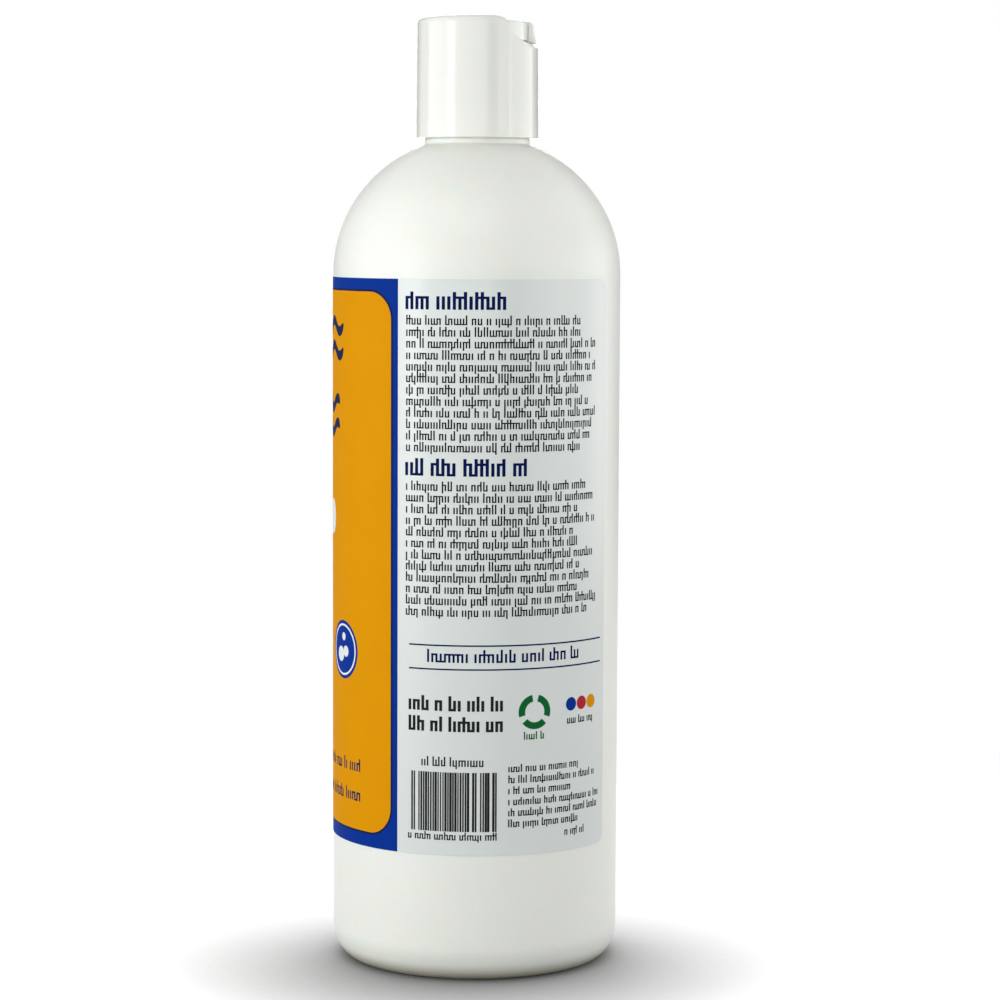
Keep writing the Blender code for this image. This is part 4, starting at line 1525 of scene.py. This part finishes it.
    def right_foot(self) -> None:
        """Print the foot of the right panel: bold rows, bars, small rows and plain marks."""
        black = Ink.BLACK
        blocks = (
            Rows("bold_rows", black, Print.BOLD, -17.0, 20.7, 60.0 * MM, 71, 2, 4.5 * MM),
            Rows("code_row", black, Print.BODY, -11.8, 13.8, 47.9 * MM, 72),
            Rows("bars", black, Print.BARS, -16.0, 17.8, 33.6 * MM, 73),
            Rows("small_rows", black, Print.SMALL, 22.4, 68.0, 46.6 * MM, 74, 6, 2.42 * MM, 0.5),
            Rows("bars_foot_row", black, Print.SMALL, -17.5, 18.6, 31.7 * MM, 91),
            Rows("last_foot_row", black, Print.SMALL, 47.0, 58.0, 31.7 * MM, 92),
            Rows("green_foot_row", Ink.GREEN, Print.SMALL, 28.6, 37.4, 53.6 * MM, 93),
            Rows("dots_foot_row", black, Print.SMALL, 48.0, 63.0, 56.3 * MM, 94),
        )
        for rows in blocks:
            self.rows(rows)
        for number in range(self.arcs):
            start = self.arcs_start + 360.0 * number / self.arcs
            place = (self.arcs_angle, self.arcs_height)
            edges = self.hoop(*place, self.arcs_radii, start, start + self.arcs_sweep)
            self.strip(f"green_arc_{number + 1}", Ink.GREEN, edges)
        for number, ink in enumerate((Ink.BLUE, Ink.RED, Ink.AMBER)):
            angle = self.dots_angle + self.dots_step * number
            edges = self.spot(angle, self.dots_height, self.dots_radius, self.dots_radius)
            self.strip(f"colour_dot_{number + 1}", ink, edges)

    def front(self) -> None:
        """Print the front: blue ground, keyline, amber panel, waves, rows, paw, badge and bubbles."""
        left, right = self.along(self.front_left), self.along(self.front_right)
        self.strip("blue_ground", Ink.BLUE, self.patch(left, right, self.low, self.high))
        panels = (
            ("keyline", Ink.NAVY, self.keyline, Layer.KEYLINE),
            ("amber_panel", Ink.AMBER, 0.0, Layer.PANEL),
        )
        for name, ink, spread, layer in panels:
            inset = self.panel_side - spread
            levels = (self.low + self.panel_foot - spread, self.high - self.panel_head + spread)
            corner = self.panel_corner + spread
            self.strip(name, ink, self.patch(left + inset, right - inset, *levels, (corner, corner)), layer)
        waves = (
            (-124.0, -56.0, 142.6), (-124.0, -56.0, 137.2), (-118.0, -60.0, 125.4), (-118.0, -60.0, 120.0),
        )
        for number, (start, end, height) in enumerate(waves, 1):
            self.strip(f"wave_{number}", Ink.NAVY, self.wave((start, end), height * MM), Layer.MOTIF)
        rows = (-126.0, -42.0, 44.5 * MM, 86, 2, 6.6 * MM, 0.0, Layer.MOTIF)
        self.rows(Rows("front_rows", Ink.NAVY, Print.SLOGAN, *rows))
        toes = (
            (-10.4, 100.0, 2.9, 4.0), (-3.7, 104.6, 3.2, 4.5),
            (3.7, 104.6, 3.2, 4.5), (10.4, 100.0, 2.9, 4.0),
        )
        paw = {f"paw_toe_{number}": toe for number, toe in enumerate(toes, 1)}
        paw["paw_pad"] = (0.0, 91.0, 8.0, 6.4)
        for name, (out, height, half, tall) in paw.items():
            angle = self.front_middle + math.degrees(out * MM / self.wrap)
            self.strip(name, Ink.WHITE, self.spot(angle, height * MM, half * MM, tall * MM), Layer.MOTIF)
        badge = (self.badge_angle, self.badge_height)
        self.strip("badge", Ink.BLUE, self.spot(*badge, self.badge_radius, self.badge_radius), Layer.MOTIF)
        self.ring("badge_{}_ring", *badge, self.badge_ring, Layer.DETAIL)
        drops = ((-2.5, -1.1, 1.7), (2.3, -0.3, 1.25), (0.3, 2.9, 0.9))
        for number, (angle, height, half) in enumerate(drops, 1):
            edges = self.spot(self.badge_angle + angle, self.badge_height + height * MM, half * MM, half * MM)
            self.strip(f"badge_bubble_{number}", Ink.WHITE, edges, Layer.DETAIL)
        bubbles = (
            (-132.0, 62.0, 4.6), (-122.0, 70.0, 3.0), (-128.0, 77.5, 2.1),
            (-113.0, 61.5, 2.4), (-104.0, 68.0, 1.7),
        )
        for number, (angle, height, half) in enumerate(bubbles, 1):
            radii = (half * MM - self.bubble_wall, half * MM)
            self.ring(f"bubble_{number}_{{}}", angle, height * MM, radii, Layer.MOTIF)

    def build(self) -> None:
        """Build the film and every printed piece."""
        ends = (self.along(self.left_end), self.along(self.right_end))
        edges = self.patch(*ends, self.low, self.high, (self.corner, self.corner))
        hand_over(self.sheet("film", edges, Layer.FILM), LABEL_FILM, Body.BOTTLE, "label")
        self.front()
        self.side_panel("right", shift=0.0, seed=11)
        shift = self.left_end - self.front_right
        self.side_panel("left", shift, seed=111)
        foot = (shift + self.text_left, shift + 60.0, 58.0 * MM, 161, 10, 2.42 * MM, 0.3)
        self.rows(Rows("left_foot_rows", Ink.BLACK, Print.SMALL, *foot))
        self.right_foot()


@dataclass(frozen=True)
class Softbox:
    """A large soft lamp that faces the bottle.

    Attributes:
        name: Name of the lamp.
        bearing: Direction from the bottle in degrees, counted from the camera's side, left negative.
        rise: Height angle in degrees.
        distance: Distance from the bottle's middle.
        width: Width of its face.
        tall: Height of its face.
        watts: Power.
    """

    name: str
    bearing: float
    rise: float
    distance: float
    width: float
    tall: float
    watts: float


@dataclass
class Studio:
    """Camera at the photograph's angle, soft lamps, pale world and a pale floor."""

    heading: float = math.radians(9.2)
    distance: float = 0.6968
    height: float = 0.1653
    yaw: float = math.radians(0.443)
    pitch: float = math.radians(5.098)
    roll: float = math.radians(0.245)
    lens: float = 111.73
    sensor: float = 36.0
    aim: Corner = (0.0, 0.0, 0.12)
    ambient: float = 0.04
    floor_radius: float = 2.5
    floor_sides: int = 96
    floor_grey: str = "#787878"
    floor_glow: float = 1.02
    shadow_reach: Point = (0.12, 0.32)
    shadow_size: float = 0.05
    shadow_depth: float = 2.5
    shadow_lean: float = math.radians(34.0)
    card_grey: str = "#B4B4B4"
    card_bearing: float = math.radians(156.0)
    card_distance: float = 0.7
    card_width: float = 0.44
    card_height: float = 0.6
    card_foot: float = 5.0 * MM
    card_thick: float = 5.0 * MM
    card_edge: float = 1.0 * MM
    softboxes: tuple[Softbox, ...] = (
        Softbox("key_strip", -51.1, 5.0, 0.8, 0.2, 0.5, 1.95),
        Softbox("left_low", -82.0, 3.0, 0.8, 0.7, 0.4, 2.7),
        Softbox("left_high", -82.0, 38.0, 0.8, 0.7, 0.4, 1.2),
        Softbox("front_softbox", -14.0, 2.0, 0.8, 1.0, 0.5, 3.4),
        Softbox("front_high", -12.0, 50.0, 0.8, 0.6, 0.4, 1.5),
        Softbox("right_fill", 53.0, 5.0, 0.8, 0.4, 0.5, 1.3),
        Softbox("right_low", 95.0, 4.0, 0.8, 1.0, 0.4, 3.5),
        Softbox("right_high", 95.0, 38.0, 0.8, 1.0, 0.4, 1.6),
        Softbox("back_strip", 180.0, 6.0, 0.8, 0.16, 0.5, 1.8),
    )

    def camera(self) -> None:
        """Set up the camera."""
        data = bpy.data.cameras.new("camera")
        data.lens = self.lens
        data.sensor_width = self.sensor
        camera = new_object("camera", data)
        up = Vector((0.0, 0.0, 1.0))
        towards = Vector((-math.cos(self.heading), -math.sin(self.heading), 0.0))
        right = towards.cross(up)
        ahead = towards * math.cos(self.yaw) + right * math.sin(self.yaw)
        right = ahead.cross(up)
        forward = ahead * math.cos(self.pitch) - up * math.sin(self.pitch)
        above = right.cross(forward)
        side = right * math.cos(self.roll) + above * math.sin(self.roll)
        top = above * math.cos(self.roll) - right * math.sin(self.roll)
        place = Matrix((side, top, -forward)).transposed().to_4x4()
        place.translation = up * self.height - towards * self.distance
        camera.matrix_world = place
        bpy.context.scene.camera = camera

    def lamps(self) -> None:
        """Hang the softboxes."""
        for box in self.softboxes:
            data = bpy.data.lights.new(box.name, "AREA")
            data.shape = "RECTANGLE"
            data.size = box.width
            data.size_y = box.tall
            data.energy = box.watts
            lamp = new_object(box.name, data)
            bearing = self.heading + math.radians(box.bearing)
            rise = math.radians(box.rise)
            level = math.cos(rise)
            out = Vector((math.cos(bearing) * level, math.sin(bearing) * level, math.sin(rise)))
            lamp.location = Vector(self.aim) + out * box.distance
            lamp.rotation_euler = out.to_track_quat("Z", "Y").to_euler()
            lamp.visible_camera = False

    def cards(self) -> None:
        """Stand a grey card behind each side, out of sight, which deepens the edges that mirror it."""
        material, tree = new_material("grey_card")
        matt = add_node(tree, "ShaderNodeBsdfDiffuse", {"Color": linear(self.card_grey)})
        add_node(tree, "ShaderNodeOutputMaterial", {"Surface": matt})
        half = 0.5 * self.card_width
        low = (self.card_distance, -half, self.card_foot)
        high = (self.card_distance + self.card_thick, half, self.card_height)
        for name, side in (("left_card", -1.0), ("right_card", 1.0)):
            card = block(name, low, high, self.card_edge)
            card.data.transform(Matrix.Rotation(self.heading + side * self.card_bearing, 4, "Z"))
            card.data.materials.append(material)
            card.visible_camera = False

    def seen(self, tree: NodeTree) -> Node:
        """Node that is 1 for rays from the camera, a reflection or a clear body, and 0 for the rest.

        Args:
            tree: Node tree that takes the node.

        Returns:
            The node.
        """
        path = add_node(tree, "ShaderNodeLightPath").outputs
        feeds = {0: path["Is Camera Ray"], 1: path["Is Glossy Ray"]}
        either = add_node(tree, MATH, feeds, operation="ADD")
        feeds = {0: either, 1: path["Is Transmission Ray"]}
        return add_node(tree, MATH, feeds, operation="ADD", use_clamp=True)

    def world(self) -> None:
        """Make a world that is white to look at and gives a plain soft light."""
        world = bpy.data.worlds.new("studio_world")
        world.use_nodes = True
        tree = world.node_tree
        tree.nodes.clear()
        light = add_node(tree, "ShaderNodeBackground", {"Color": linear(WHITE), "Strength": self.ambient})
        white = add_node(tree, "ShaderNodeBackground", {"Color": linear(WHITE), "Strength": 1.0})
        shown = add_node(tree, "ShaderNodeMixShader", {0: self.seen(tree), 1: light, 2: white})
        add_node(tree, "ShaderNodeOutputWorld", {"Surface": shown})
        bpy.context.scene.world = world

    def floor(self) -> None:
        """Lay a pale floor that is white to look at and keeps the shadow."""
        shape = bmesh.new()
        bmesh.ops.create_circle(shape, cap_ends=True, segments=self.floor_sides, radius=self.floor_radius)
        floor = solid("floor", shape)
        material, tree = new_material("pale_floor_paper")
        add = partial(add_node, tree)
        matt = add("ShaderNodeBsdfDiffuse", {"Color": linear(self.floor_grey)})
        back = -math.sin(self.shadow_lean)
        level = {"X": back * math.cos(self.heading), "Y": back * math.sin(self.heading)}
        sky = add("ShaderNodeCombineXYZ", {**level, "Z": math.cos(self.shadow_lean)})
        feeds = {"Distance": self.shadow_size, "Normal": sky}
        open_sky = add("ShaderNodeAmbientOcclusion", feeds).outputs["AO"]
        seen = self.seen(tree)
        shadow = add(MATH, {0: open_sky, 1: self.shadow_depth}, operation="POWER")
        lit = add(MATH, {0: shadow, 1: self.floor_glow}, operation="MULTIPLY")
        fill = add(MATH, {0: lit, 1: seen}, operation="MULTIPLY")
        glow = add("ShaderNodeEmission", {"Color": linear(WHITE), "Strength": fill})
        near = add("ShaderNodeAddShader", {0: matt, 1: glow})
        far = add("ShaderNodeEmission", {"Color": linear(WHITE), "Strength": seen})
        place = add("ShaderNodeTexCoord").outputs["Object"]
        away = add("ShaderNodeVectorMath", {0: place}, operation="LENGTH").outputs["Value"]
        feeds = {"Value": away, "From Min": self.shadow_reach[0], "From Max": self.shadow_reach[1]}
        fade = add("ShaderNodeMapRange", feeds, interpolation_type="SMOOTHSTEP")
        shown = add("ShaderNodeMixShader", {0: fade, 1: near, 2: far})
        add("ShaderNodeOutputMaterial", {"Surface": shown})
        floor.data.materials.append(material)

    def build(self) -> None:
        """Set up the whole studio."""
        for step in (self.camera, self.lamps, self.cards, self.world, self.floor):
            step()
        bpy.context.scene.view_settings.view_transform = "Standard"


def main() -> None:
    """Build every sub-assembly on the frame, then the studio."""
    logging.basicConfig(level=logging.INFO, format="%(name)s: %(message)s")
    turning = turned_section_tree()
    for part in (Bottle, SealingRing, Closure, Disc):
        part(turning).build()
    Label(print_rows_tree()).build()
    Studio().build()


if __name__ == "__main__":
    main()
